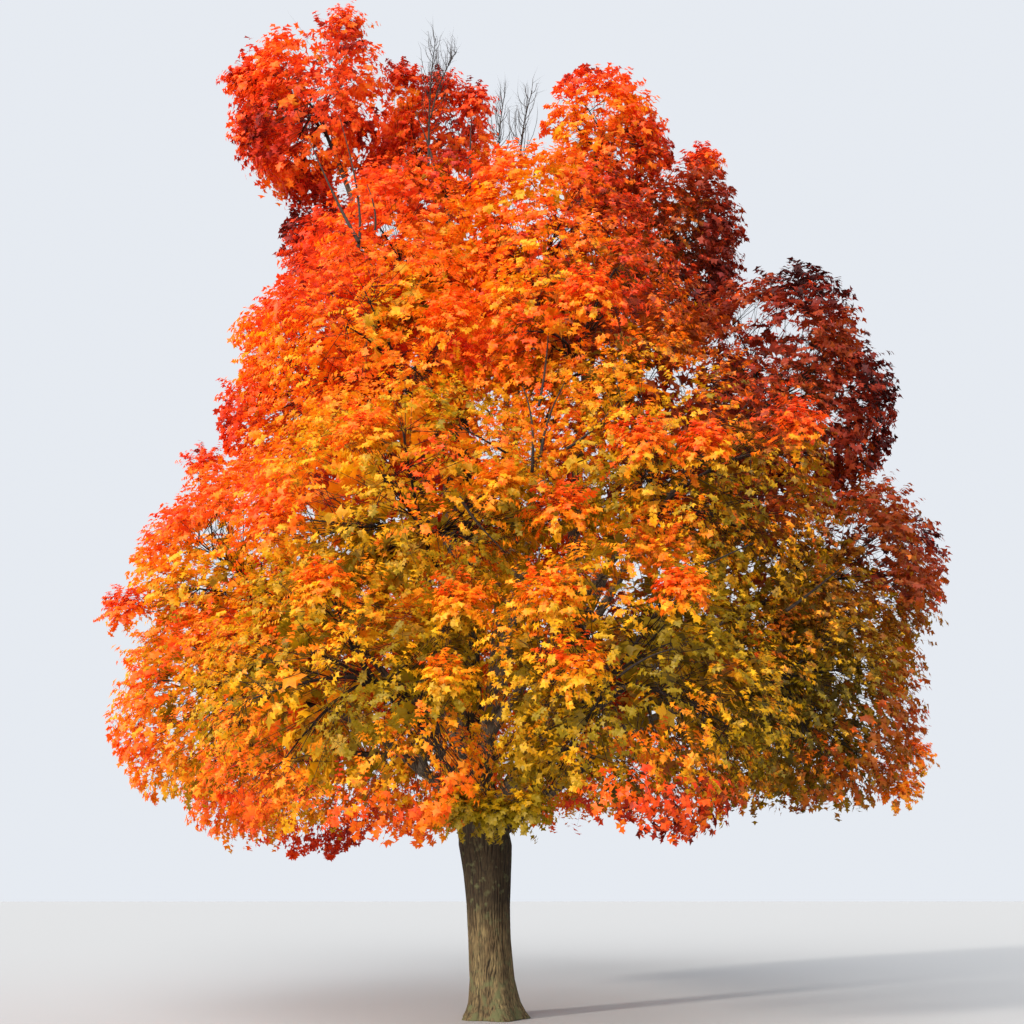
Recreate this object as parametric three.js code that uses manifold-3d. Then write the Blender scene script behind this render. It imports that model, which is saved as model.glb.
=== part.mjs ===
// A mature open-grown maple in full autumn leaf, rooted in level ground.
// Millimetres, +Z up, +X to the viewer's right and +Y away from the viewer.
// The origin is the middle of the flat cut under the trunk, at ground level.
// Azimuths are degrees round the trunk, from +X towards +Y.

import * as THREE from "three";
import { mergeVertices } from "three/addons/utils/BufferGeometryUtils.js";
import Module from "manifold-3d";

const wasm = await Module();
wasm.setup();

// The trunk's middle line, which leans to the left and runs on as a leader through the crown.
const trunkLine = [
  [0, 0, 0],
  [-70, 0, 1000],
  [-135, 0, 2200],
  [-340, 0, 3700],
  [-460, 60, 6400],
  [-620, 300, 9600],
  [-1000, 880, 13900],
];

// The trunk's radius at heights: flared foot, slim waist, swelling under the fork, then the leader.
const trunkRadii = [
  [0, 450],
  [80, 405],
  [200, 358],
  [480, 312],
  [1000, 298],
  [1450, 308],
  [1850, 340],
  [2250, 384],
  [2700, 335],
  [3300, 225],
  [4300, 172],
  [6200, 138],
  [10900, 76],
  [13900, 45],
];
const rootLobes = 5;
const rootLobeDepth = 0.12;
const rootLobeHeight = 300;
const trunkSides = 20;

// The crown's tiers of foliage: height of their middles, how many masses stand round the trunk, the first
// one's azimuth, the crown's reach to its four sides, a mass's half depth, half width and half height, how
// much lower the tier hangs on the viewer's side, and how much higher it stands on the right.
const tiers = [
  { name: "low", height: 4300, masses: 8, turn: 20, left: 5500, right: 6150, front: 6100, back: 5900,
    half: [1850, 2300, 2000], drop: 350, tilt: 100 },
  { name: "middle", height: 5750, masses: 7, turn: 48, left: 5400, right: 6850, front: 6000, back: 6100,
    half: [1950, 2500, 2100], drop: -250, tilt: 350 },
  { name: "upper", height: 9150, masses: 7, turn: -17, left: 4600, right: 6550, front: 4700, back: 5500,
    half: [1850, 2300, 2100], drop: 400, tilt: -100 },
  { name: "high", height: 12500, masses: 5, turn: 8, left: 4350, right: 4500, front: 3300, back: 4300,
    half: [1750, 2100, 2000], drop: 1900, tilt: 100 },
];
const azimuthPlay = 8;
const heightPlay = 500;

// The three heads at the crown's top: the one that overhangs to the left, the leader's, and the right one.
const heads = [
  { name: "top_left", middle: [-3350, -400, 15050], half: [1600, 1600, 2100] },
  { name: "top_centre", middle: [-1350, 1000, 15100], half: [1500, 1500, 1600] },
  { name: "top_right", middle: [1900, -400, 14200], half: [1250, 1250, 1700] },
];
const leaderHead = "top_centre";

// Limbs are the long rising boughs of the highest tier, and carry those of the two tiers under it and of the
// heads. They leave the trunk one above the other, and the first one is the thickest.
const limbStart = 2450;
const limbStep = 330;
const limbRadius = 150;
const firstLimbRadius = 185;

// The lowest boughs leave the trunk too, and each carries a neighbour.
const lowBoughStart = 2350;
const lowBoughStep = 160;
const lowBoughSteps = 4;
const lowBoughRadius = 105;
const sideBoughShare = 0.36;
const sideBoughRadius = 66;

// Boughs that grow from a limb leave it at a share of the height of their mass.
const middleBough = { share: 0.56, radius: 88 };
const upperBough = { share: 0.56, radius: 84 };
const headBough = { share: 0.6, radius: 62 };

// Every bough's tip radius, how it thins, its outline, and how far it keeps the way that it starts and ends.
const boughTip = 42;
const boughTaper = 0.8;
const limbSides = 6;
const boughSides = 5;
const thickBough = 100;
const boughRings = 5;
const leaveShare = 0.36;
const entryShare = 0.3;

// Foliage. Each twig ends in one leaf, which stands for a spray of real ones. Shares are parts of the way
// from a mass's middle to the edge of its space.
const ownSpace = 30;
const coreShare = 0.64;
const coreLump = 0.13;
const stemLength = 900;
const twigRadius = 36;
const twigs = 13;
const twigTries = 60;
const twigStart = [0.35, 0.85];
const sidewaysLimit = 135;
const downmost = -0.92;
const upmost = 0.92;
const leafDepth = [0.8, 0.92];
const leafLength = 1450;
const leafSizes = [1, 0.85, 0.7, 0.58];
const leafPlay = 0.2;
const leafTurn = 120;
const leafRise = 0.2;
const leafFaceOut = 0.3;
const leafHangOut = 0.2;
const leafHalfWidth = 0.5;
const leafThickness = 0.025;

// Seeds: one for the crown's plan, and one for each mass, counted on from the second.
const planSeed = 7;
const massSeed = 1000;

// The gap between pieces that meet.
const gap = 0.4;
const endGap = 0.3;

const up = new THREE.Vector3(0, 0, 1);
const radians = THREE.MathUtils.degToRad;
const vector = (xyz) => new THREE.Vector3(...xyz);
const between = ([from, to], share) => from + (to - from) * share;

// Numbers from 0 to 1 that are the same for the same seed.
function seeded(seed) {
  let state = seed;
  return () => {
    state = (state * 1664525 + 1013904223) % 4294967296;
    return state / 4294967296;
  };
}

// The value at a place, on straight lines between [place, value] pairs.
function valueAt(pairs, place) {
  const last = pairs.length - 1;
  if (place >= pairs[last][0]) return pairs[last][1];
  const next = Math.max(1, pairs.findIndex(([at]) => at > place));
  const [a, from] = pairs[next - 1];
  const [b, to] = pairs[next];
  return between([from, to], (place - a) / (b - a));
}

// A mass's twig directions, on its outer side. The two steps are powers of the plastic number, so that the
// first few directions are as evenly spread as the first hundred.
const turnStep = 0.7548776662;
const heightStep = 0.569840291;

function twigDirection(index) {
  const turn = radians(sidewaysLimit) * between([-1, 1], (0.5 + index * turnStep) % 1);
  const height = between([downmost, upmost], (0.5 + index * heightStep) % 1);
  const flat = Math.sqrt(1 - height * height);
  return new THREE.Vector3(flat * Math.cos(turn), flat * Math.sin(turn), height);
}

// Solids

function solidOf(geometry) {
  geometry.deleteAttribute("normal");
  geometry.deleteAttribute("uv");
  const merged = mergeVertices(geometry);
  return new wasm.Manifold(
    new wasm.Mesh({
      numProp: 3,
      vertProperties: new Float32Array(merged.attributes.position.array),
      triVerts: new Uint32Array(merged.index.array),
    }),
  );
}

function geometryOf(solid) {
  const mesh = solid.getMesh();
  return new THREE.BufferGeometry()
    .setAttribute("position", new THREE.BufferAttribute(mesh.vertProperties, 3))
    .setIndex(new THREE.BufferAttribute(mesh.triVerts, 1))
    .toNonIndexed();
}

const largest = (solid) =>
  solid.decompose().reduce((a, b) => (b.volume() > a.volume() ? b : a));

const evenShares = (rings) => Array.from({ length: rings + 1 }, (_, i) => i / rings);

// A closed limb: a cylinder whose rings are set on a curve at the given shares of it. grow is how much
// thicker and longer it is than drawn, and level keeps the rings flat, as on the trunk.
function limbSolid(curve, sides, shares, radiusAt, grow, level = false) {
  const rings = shares.length - 1;
  const geometry = new THREE.CylinderGeometry(1, 1, 1, sides, rings);
  const chord = curve.getPoint(1).sub(curve.getPoint(0));
  const aside = new THREE.Vector3().crossVectors(chord, up).normalize();
  const position = geometry.attributes.position;
  for (let i = 0; i < position.count; i++) {
    const share = shares[Math.round((position.getY(i) + 0.5) * rings)];
    const [x, z] = [position.getX(i), position.getZ(i)];
    const middle = curve.getPoint(share);
    const ahead = level ? up : curve.getTangent(share);
    const across = level ? new THREE.Vector3(1, 0, 0) : aside.clone().projectOnPlane(ahead).normalize();
    const third = new THREE.Vector3().crossVectors(across, ahead);
    const radius = radiusAt(share, Math.atan2(z, x), middle.z) + grow;
    middle.addScaledVector(across, x * radius).addScaledVector(third, z * radius);
    if (share === 0) middle.addScaledVector(ahead, -grow);
    if (share === 1) middle.addScaledVector(ahead, grow);
    position.setXYZ(i, ...middle);
  }
  return solidOf(geometry);
}

// A three-sided twig from one point to another.
function twigSolid(from, to, startRadius, endRadius) {
  const ahead = to.clone().sub(from);
  const geometry = new THREE.CylinderGeometry(endRadius, startRadius, ahead.length(), 3, 1);
  geometry.translate(0, ahead.length() / 2, 0);
  geometry.applyQuaternion(new THREE.Quaternion().setFromUnitVectors(vector([0, 1, 0]), ahead.normalize()));
  geometry.translate(...from);
  return solidOf(geometry);
}

// The corners of a three-sided twig that bends and widens into a leaf, ring by ring from its root to the
// leaf's tip. The leaf is flat below, with a ridge along its upper side.
function twigRings(start, { middle, ahead, face }, length) {
  const end = middle.clone().addScaledVector(ahead, -length / 2);
  const tip = middle.clone().addScaledVector(ahead, length / 2);
  const across = new THREE.Vector3().crossVectors(ahead, face);
  const ring = (at, way, width, depth) => {
    const right = across.clone().projectOnPlane(way).normalize();
    const over = new THREE.Vector3().crossVectors(right, way);
    return [90, -30, -150].map(radians).map((turn) =>
      at
        .clone()
        .addScaledVector(right, width * Math.cos(turn))
        .addScaledVector(over, depth * Math.sin(turn)),
    );
  };
  const stalk = end.clone().sub(start).normalize();
  const bend = stalk.clone().add(ahead).normalize();
  const width = (length * leafHalfWidth) / Math.cos(radians(30));
  return [
    ring(start, stalk, twigRadius, twigRadius),
    ring(end, bend, twigRadius, twigRadius),
    ring(middle, ahead, width, length * leafThickness),
    ring(tip, ahead, 0, 0),
  ];
}

// A cone's skin, drawn over rings of three corners.
function ringSolid(rings) {
  const last = rings.length - 1;
  const geometry = new THREE.ConeGeometry(1, 1, 3, last);
  const position = geometry.attributes.position;
  for (let i = 0; i < position.count; i++) {
    const [x, z] = [position.getX(i), position.getZ(i)];
    const ring = rings[Math.round((position.getY(i) + 0.5) * last)];
    const corner = Math.round(Math.atan2(x, z) / radians(120) + 3) % 3;
    const middle = ring[0].clone().add(ring[1]).add(ring[2]).divideScalar(3);
    position.setXYZ(i, ...(Math.hypot(x, z) > 0 ? ring[corner] : middle));
  }
  return solidOf(geometry);
}

// The crown's plan: where each mass stands and the space that it keeps to.

function tierReach(tier, cosine, sine) {
  const sideways = cosine > 0 ? tier.right : tier.left;
  const inDepth = sine > 0 ? tier.back : tier.front;
  return 1 / Math.hypot(cosine / sideways, sine / inDepth);
}

function planMasses() {
  const play = seeded(planSeed);
  const masses = [];
  tiers.forEach((tier, level) => {
    for (let k = 0; k < tier.masses; k++) {
      const azimuth = radians(tier.turn + (360 * k) / tier.masses + (play() - 0.5) * azimuthPlay);
      const [cosine, sine] = [Math.cos(azimuth), Math.sin(azimuth)];
      const slope = tier.tilt * cosine - tier.drop * Math.max(0, -sine);
      const height = tier.height + (play() - 0.5) * heightPlay + slope;
      const radius = tierReach(tier, cosine, sine) - tier.half[0];
      masses.push({
        name: `${tier.name}_${k + 1}`,
        level,
        order: k,
        azimuth,
        middle: vector([radius * cosine, radius * sine, height]),
        out: vector([cosine, sine, 0]),
        half: tier.half,
      });
    }
  });
  heads.forEach((head, k) => {
    const [x, y] = head.middle;
    masses.push({
      name: head.name,
      level: tiers.length,
      order: k,
      azimuth: Math.atan2(y, x),
      middle: vector(head.middle),
      out: vector([x, y, 0]).normalize(),
      half: head.half,
    });
  });
  return masses;
}

const masses = planMasses();

// A mass's own axes: outwards, sideways and up.
const axesOf = (mass) => [mass.out, new THREE.Vector3().crossVectors(up, mass.out), up];

// The walls of a mass's space, halfway to every other mass.
for (const mass of masses) {
  mass.walls = masses
    .filter((other) => other !== mass)
    .map((other) => {
      const across = other.middle.clone().sub(mass.middle);
      const distance = (across.length() - ownSpace) / 2;
      return { normal: across.normalize(), distance };
    });
}

// How far out a point lies in its mass's space: 0 at the middle, and 1 on the ellipsoid or on a wall.
function depthIn(mass, point) {
  const offset = point.clone().sub(mass.middle);
  const toEllipsoid = axesOf(mass).map((axis, i) => offset.dot(axis) / mass.half[i]);
  const toWalls = mass.walls.map(({ normal, distance }) => offset.dot(normal) / distance);
  return Math.max(Math.hypot(...toEllipsoid), ...toWalls);
}

// The point in a direction, given by the mass's own axes, at a share of the way out.
function pointIn(mass, direction, share) {
  const offset = new THREE.Vector3();
  axesOf(mass).forEach((axis, i) => offset.addScaledVector(axis, direction.getComponent(i) * mass.half[i]));
  const reach = 1 / depthIn(mass, mass.middle.clone().add(offset));
  return mass.middle.clone().addScaledVector(offset, reach * share);
}

// Limbs

const trunkCurve = new THREE.CatmullRomCurve3(trunkLine.map(vector), false, "catmullrom", 0.5);

function trunkRadius(share, angle, height) {
  const lobes = Math.cos(rootLobes * angle) * rootLobeDepth * Math.exp(-height / rootLobeHeight);
  return valueAt(trunkRadii, height) * (1 + lobes);
}

// The share of a rising curve at which it reaches a height, found by halving.
const halvings = 24;

function shareAtHeight(curve, height) {
  let [low, high] = [0, 1];
  for (let i = 0; i < halvings; i++) {
    const middle = (low + high) / 2;
    if (curve.getPoint(middle).z < height) low = middle;
    else high = middle;
  }
  return low;
}

// How steeply a bough enters its mass, from the lowest tier to the heads.
const entryRise = [0.25, 0.45, 0.7, 1.6, 2.4];
// How steeply a bough leaves what it grows from.
const leaveRise = [0.55, 0.75, 0.9, 1.15, 2.2];

function boughCurve(parent, share, mass) {
  const start = parent.getPoint(share);
  const entry = mass.out.clone().addScaledVector(up, entryRise[mass.level]).normalize();
  const tip = mass.middle.clone().addScaledVector(entry, -mass.half[0] * coreShare);
  const length = start.distanceTo(tip);
  const towards = tip.clone().sub(start).setZ(0).normalize();
  const leave = towards.addScaledVector(up, leaveRise[mass.level]).normalize();
  return new THREE.CubicBezierCurve3(
    start,
    start.clone().addScaledVector(leave, length * leaveShare),
    tip.clone().addScaledVector(entry, -length * entryShare),
    tip,
  );
}

const turnBetween = (a, b) => Math.abs(Math.atan2(Math.sin(a - b), Math.cos(a - b)));

// Every bough with its curve and its radius where it starts. The limbs come first, as others grow from them.
function planBoughs() {
  const highest = tiers.length - 1;
  const limbs = masses
    .filter((mass) => mass.level === highest)
    .map((mass) => {
      const height = limbStart + limbStep * ((2 * mass.order) % tiers[highest].masses);
      const curve = boughCurve(trunkCurve, shareAtHeight(trunkCurve, height), mass);
      return { mass, curve, radius: mass.order === 0 ? firstLimbRadius : limbRadius };
    });
  const nearestLimb = (mass) =>
    limbs.reduce((a, b) =>
      turnBetween(b.mass.azimuth, mass.azimuth) < turnBetween(a.mass.azimuth, mass.azimuth) ? b : a,
    );
  const fromLimb = (mass, { share, radius }) => {
    const limb = nearestLimb(mass);
    const start = shareAtHeight(limb.curve, mass.middle.z * share);
    return { mass, curve: boughCurve(limb.curve, start, mass), radius };
  };
  const boughs = [...limbs];
  for (const mass of masses) {
    if (mass.level === 2) boughs.push(fromLimb(mass, upperBough));
    if (mass.level === 1) boughs.push(fromLimb(mass, middleBough));
    if (mass.level > highest && mass.name !== leaderHead) boughs.push(fromLimb(mass, headBough));
  }
  const low = masses.filter((mass) => mass.level === 0);
  low.forEach((mass, k) => {
    if (k % 2) return;
    const height = lowBoughStart + lowBoughStep * (((3 * k) / 2) % lowBoughSteps);
    const curve = boughCurve(trunkCurve, shareAtHeight(trunkCurve, height), mass);
    const neighbour = low[k + 1];
    const sideCurve = boughCurve(curve, sideBoughShare, neighbour);
    boughs.push({ mass, curve, radius: lowBoughRadius });
    boughs.push({ mass: neighbour, curve: sideCurve, radius: sideBoughRadius });
  });
  return boughs;
}

const boughs = planBoughs();

const boughRadius = (bough) => (share) => between([bough.radius, boughTip], Math.pow(share, boughTaper));

// Every limb's solid by name, and all of them grown by the gap, which cuts whatever comes near.
function limbSolids() {
  const made = new Map();
  const trunkShares = trunkRadii.map(([height]) => shareAtHeight(trunkCurve, height));
  const trunk = (grow) => limbSolid(trunkCurve, trunkSides, trunkShares, trunkRadius, grow, true);
  made.set("trunk", trunk(0));
  let grown = trunk(gap);
  for (const bough of boughs) {
    const sides = bough.radius > thickBough ? limbSides : boughSides;
    const shape = (grow) => limbSolid(bough.curve, sides, evenShares(boughRings), boughRadius(bough), grow);
    made.set(`bough_${bough.mass.name}`, largest(shape(0).subtract(grown)));
    grown = grown.add(shape(gap));
  }
  return { made, grown };
}

const limbs = limbSolids();

// Foliage

// Where a mass's stem starts, which way it runs, and where it ends.
function stemOf(mass) {
  const bough = boughs.find((one) => one.mass === mass);
  const curve = bough ? bough.curve : trunkCurve;
  const ahead = bough ? curve.getTangent(1) : up.clone();
  const start = curve.getPoint(1).addScaledVector(ahead, endGap);
  const end = start.clone().addScaledVector(ahead, stemLength);
  return { start, end, radius: bough ? boughTip : valueAt(trunkRadii, start.z) };
}

// The dense inner part of a mass: a lumpy ball.
function coreSolid(mass, play) {
  const geometry = new THREE.IcosahedronGeometry(1, 1);
  geometry.deleteAttribute("normal");
  geometry.deleteAttribute("uv");
  const ball = mergeVertices(geometry);
  const position = ball.attributes.position;
  for (let i = 0; i < position.count; i++) {
    const direction = new THREE.Vector3().fromBufferAttribute(position, i);
    const lump = 1 + coreLump * between([-1, 1], play());
    position.setXYZ(i, ...pointIn(mass, direction, coreShare * lump));
  }
  return solidOf(ball);
}

// How a leaf lies: its middle is a set way out in the mass's space, it faces outwards and most hang.
function leafPlace(mass, direction, play) {
  const middle = pointIn(mass, direction, between(leafDepth, play()));
  const outwards = middle.clone().sub(mass.middle).normalize();
  const face = outwards.clone().addScaledVector(mass.out, leafFaceOut).normalize();
  const hanging = up.clone().negate().addScaledVector(mass.out, leafHangOut).projectOnPlane(face).normalize();
  const turn = radians(leafTurn) * between([-1, 1], play());
  const ahead = hanging.applyAxisAngle(face, turn).addScaledVector(outwards, leafRise).normalize();
  return { middle, ahead, face: face.projectOnPlane(ahead).normalize() };
}

const touches = (solid, other) => !solid.intersect(other).isEmpty();

// The twig with the largest leaf that keeps to the mass's space, out of its core and clear of other pieces.
function fittingTwig(mass, start, place, length, others) {
  const coreReach = coreShare * (1 + coreLump);
  for (const size of leafSizes) {
    const rings = twigRings(start, place, length * size);
    const fits = rings.slice(1).flat().every((corner) => {
      const depth = depthIn(mass, corner);
      return depth > coreReach && depth < 1;
    });
    if (!fits) continue;
    const whole = ringSolid(rings);
    const leaf = ringSolid(rings.slice(1));
    const crossed = others.some((other) => touches(leaf, other.whole) || touches(whole, other.leaf));
    if (!crossed && !touches(whole, limbs.grown)) return { whole, leaf };
  }
  return null;
}

function foliageSolid(mass, index) {
  const play = seeded(massSeed + index);
  const stem = stemOf(mass);
  const core = coreSolid(mass, play)
    .subtract(limbs.grown)
    .add(twigSolid(stem.start, stem.end, stem.radius, twigRadius));
  const grown = [];
  for (let k = 0; k < twigTries && grown.length < twigs; k++) {
    const start = stem.start.clone().lerp(stem.end, between(twigStart, play()));
    const place = leafPlace(mass, twigDirection(k), play);
    const length = leafLength * (1 + leafPlay * between([-1, 1], play()));
    const twig = fittingTwig(mass, start, place, length, grown);
    if (twig) grown.push(twig);
  }
  return largest(grown.reduce((all, twig) => all.add(twig.whole), core));
}

// Colours: bark, and the autumn tints by place.
const bark = new THREE.MeshStandardMaterial({ color: 0x4a3c2c, roughness: 0.95, metalness: 0 });
const tints = {
  scarlet: 0xc93a12,
  orange: 0xd9650f,
  gold: 0xcf930f,
  amber: 0xa8660f,
  russet: 0x8f3512,
};

// Red on the top and the upper left, russet on the right, orange at the left and in the middle, gold below.
const redHeight = 11000;
const goldHeight = 5500;
const middleHalfWidth = 2500;

function tintOf(mass) {
  const { x, z } = mass.middle;
  const high = z > goldHeight;
  const left = x < -middleHalfWidth;
  if (z > redHeight || (high && left)) return "scarlet";
  if (x > middleHalfWidth) return high ? "russet" : "amber";
  return high || left ? "orange" : "gold";
}

const leafMaterials = Object.fromEntries(
  Object.entries(tints).map(([name, color]) => [
    name,
    new THREE.MeshStandardMaterial({ color, roughness: 0.6, metalness: 0 }),
  ]),
);

function meshOf(name, solid, material) {
  const mesh = new THREE.Mesh(geometryOf(solid), material);
  mesh.name = name;
  return mesh;
}

const tree = new THREE.Group();
for (const [name, solid] of limbs.made) tree.add(meshOf(name, solid, bark));
masses.forEach((mass, index) =>
  tree.add(meshOf(`foliage_${mass.name}`, foliageSolid(mass, index), leafMaterials[tintOf(mass)])),
);

export default tree;
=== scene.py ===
# %% [markdown]
# A grown maple in full autumn leaf, dressed round its solid model.
# The solid model has a trunk, its boughs and thirty lumps of foliage, all plain. This script grows the same
# tree again by the same rule, and goes on where the solids stop: bark with real furrows, branches that
# divide down to twigs, and more than two hundred thousand leaves. Loading the model first gives us its
# sizes and the names of the pieces that we stand in for.

# %% Load the solid model
import math
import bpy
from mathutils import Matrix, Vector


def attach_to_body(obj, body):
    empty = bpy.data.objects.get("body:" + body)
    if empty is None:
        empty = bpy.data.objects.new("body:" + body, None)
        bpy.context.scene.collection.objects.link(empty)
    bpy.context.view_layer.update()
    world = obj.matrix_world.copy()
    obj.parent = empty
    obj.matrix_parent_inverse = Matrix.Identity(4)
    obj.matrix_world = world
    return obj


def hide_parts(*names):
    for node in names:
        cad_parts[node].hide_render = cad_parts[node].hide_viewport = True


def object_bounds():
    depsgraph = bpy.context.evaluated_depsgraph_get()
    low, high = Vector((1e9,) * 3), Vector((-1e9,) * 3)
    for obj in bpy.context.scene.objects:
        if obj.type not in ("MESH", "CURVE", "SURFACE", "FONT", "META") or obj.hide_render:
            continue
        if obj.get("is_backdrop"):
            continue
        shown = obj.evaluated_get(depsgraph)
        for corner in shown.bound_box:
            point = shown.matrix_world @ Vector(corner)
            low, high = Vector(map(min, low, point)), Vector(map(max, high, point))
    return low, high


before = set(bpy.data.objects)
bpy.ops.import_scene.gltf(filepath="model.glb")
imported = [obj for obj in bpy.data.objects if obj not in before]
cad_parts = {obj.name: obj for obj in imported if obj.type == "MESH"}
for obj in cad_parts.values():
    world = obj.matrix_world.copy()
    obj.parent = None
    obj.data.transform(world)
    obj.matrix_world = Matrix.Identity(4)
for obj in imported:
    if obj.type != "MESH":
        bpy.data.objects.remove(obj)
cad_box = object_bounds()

from types import SimpleNamespace

import bpy
import numpy as np
from mathutils import Vector

print("solid model:", len(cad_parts), "nodes,", round(cad_box[1].z, 2), "m tall")

# %% [markdown]
# The camera comes first, because every look at the work goes through it. A grown-up stands on level ground
# 15.5 m from the trunk and tilts the camera up to take in the whole crown. The lens is as long as the
# sensor is wide, which gives a view of 53 degrees.

# %% Place the camera
EYE = (0.0, -15.5, 1.6)
TILT_UP = 20.4
TURN_RIGHT = 0.9077
LENS = SENSOR = 36.0


def place_camera():
    lens = bpy.data.cameras.new("camera")
    lens.lens = LENS
    lens.sensor_width = SENSOR
    camera = bpy.data.objects.new("camera", lens)
    camera.location = EYE
    camera.rotation_euler = (math.radians(90 + TILT_UP), 0, -math.radians(TURN_RIGHT))
    bpy.context.collection.objects.link(camera)
    bpy.context.scene.camera = camera


place_camera()
print("camera at", EYE)

# %% [markdown]
# Curves carry the whole tree. Blender has curve objects, but a rule that places thousands of twigs is easier
# with plain functions: each curve here is a function that turns a share, from 0 at its start to 1 at its
# end, into a point. The trunk's runs smoothly through a few points, and each bough's is a Bezier curve.

# %% Curves as functions
UP = np.array([0.0, 0.0, 1.0])


def unit(vectors):
    return vectors / np.linalg.norm(vectors, axis=-1, keepdims=True)


def between(ends, share):
    return ends[0] + (ends[1] - ends[0]) * share


def smooth_curve(points):
    knots = np.array(points)
    ends = np.vstack([2 * knots[0] - knots[1], knots, 2 * knots[-1] - knots[-2]])
    spans = len(knots) - 1

    def at(share):
        place = np.atleast_1d(share) * spans
        span = np.clip(place.astype(int), 0, spans - 1)
        t = (place - span)[:, None]
        before, start, end, after = (ends[span + k] for k in range(4))
        leave = (end - before) / 2
        arrive = (after - start) / 2
        square = 3 * (end - start) - 2 * leave - arrive
        cube = 2 * (start - end) + leave + arrive
        return start + leave * t + square * t**2 + cube * t**3

    return at


def bezier_curve(start, leaving, arriving, end):
    def at(share):
        t = np.atleast_1d(share)[:, None]
        s = 1 - t
        return start * s**3 + 3 * leaving * t * s**2 + 3 * arriving * t**2 * s + end * t**3

    return at


def heading(curve, share, step=1e-4):
    share = np.atleast_1d(share)
    return unit(curve(np.minimum(share + step, 1)) - curve(np.maximum(share - step, 0)))


def share_at_height(curve, height, halvings=24):
    low, high = 0.0, 1.0
    for _ in range(halvings):
        middle = (low + high) / 2
        if curve(middle)[0, 2] < height:
            low = middle
        else:
            high = middle
    return low


print("halfway up a straight curve:", smooth_curve([(0, 0, 0), (0, 0, 1), (0, 0, 2)])(0.5)[0])

# %% [markdown]
# The trunk leans to the left, flares at its foot, narrows, swells under the fork and runs on as a thin
# leader through the crown. These are the solid model's own sizes, in metres.

# %% The trunk's line and thickness
TRUNK_LINE = [
    (0, 0, 0), (-0.07, 0, 1.0), (-0.135, 0, 2.2), (-0.34, 0, 3.7),
    (-0.46, 0.06, 6.4), (-0.62, 0.3, 9.6), (-1.0, 0.88, 13.9),
]
TRUNK_RADII = [
    (0, 0.45), (0.08, 0.405), (0.2, 0.358), (0.48, 0.312), (1.0, 0.298),
    (1.45, 0.308), (1.85, 0.34), (2.25, 0.384), (2.7, 0.335), (3.3, 0.225),
    (4.3, 0.172), (6.2, 0.138), (10.9, 0.076), (13.9, 0.045),
]
ROOT_LOBES = 5
ROOT_LOBE_DEPTH = 0.12
ROOT_LOBE_HEIGHT = 0.3

trunk_curve = smooth_curve(TRUNK_LINE)


def trunk_radius(height, angle=0.0):
    heights, radii = np.array(TRUNK_RADII).T
    lobes = np.cos(ROOT_LOBES * angle) * ROOT_LOBE_DEPTH * np.exp(-height / ROOT_LOBE_HEIGHT)
    return np.interp(height, heights, radii) * (1 + lobes)


print("trunk at breast height:", round(2 * float(trunk_radius(1.3)), 2), "m thick")

# %% [markdown]
# The crown is planned as tiers of foliage masses round the trunk, with three heads on top. A little play
# keeps the tiers from standing like spokes, and it comes from a small random generator of our own, because
# the solid model used the same one: the same seed gives the same numbers, so the masses fall in the same
# places.

# %% Plan the foliage masses
TIERS = [
    {"name": "low", "height": 4.3, "masses": 8, "turn": 20, "sides": (5.5, 6.15, 6.1, 5.9),
     "half": (1.85, 2.3, 2.0), "drop": 0.35, "tilt": 0.1},
    {"name": "middle", "height": 5.75, "masses": 7, "turn": 48, "sides": (5.4, 6.85, 6.0, 6.1),
     "half": (1.95, 2.5, 2.1), "drop": -0.25, "tilt": 0.35},
    {"name": "upper", "height": 9.15, "masses": 7, "turn": -17, "sides": (4.6, 6.55, 4.7, 5.5),
     "half": (1.85, 2.3, 2.1), "drop": 0.4, "tilt": -0.1},
    {"name": "high", "height": 12.5, "masses": 5, "turn": 8, "sides": (4.35, 4.5, 3.3, 4.3),
     "half": (1.75, 2.1, 2.0), "drop": 1.9, "tilt": 0.1},
]
HEADS = [
    {"name": "top_left", "middle": (-3.35, -0.4, 15.05), "half": (1.6, 1.6, 2.1)},
    {"name": "top_centre", "middle": (-1.35, 1.0, 15.1), "half": (1.5, 1.5, 1.6)},
    {"name": "top_right", "middle": (1.9, -0.4, 14.2), "half": (1.25, 1.25, 1.7)},
]
AZIMUTH_PLAY = 8
HEIGHT_PLAY = 0.5
PLAN_SEED = 7
OWN_SPACE = 0.03


def seeded(seed):
    state = seed

    def play():
        nonlocal state
        state = (state * 1664525 + 1013904223) % 2**32
        return state / 2**32

    return play


def tier_reach(tier, cosine, sine):
    left, right, front, back = tier["sides"]
    return 1 / math.hypot(cosine / (right if cosine > 0 else left), sine / (back if sine > 0 else front))


def new_mass(name, level, order, azimuth, middle, half):
    out = unit(np.array([middle[0], middle[1], 0.0]))
    axes = np.array([out, np.cross(UP, out), UP])
    return SimpleNamespace(
        name=name, level=level, order=order, azimuth=azimuth,
        middle=np.array(middle), out=out, axes=axes, half=np.array(half),
    )


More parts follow.
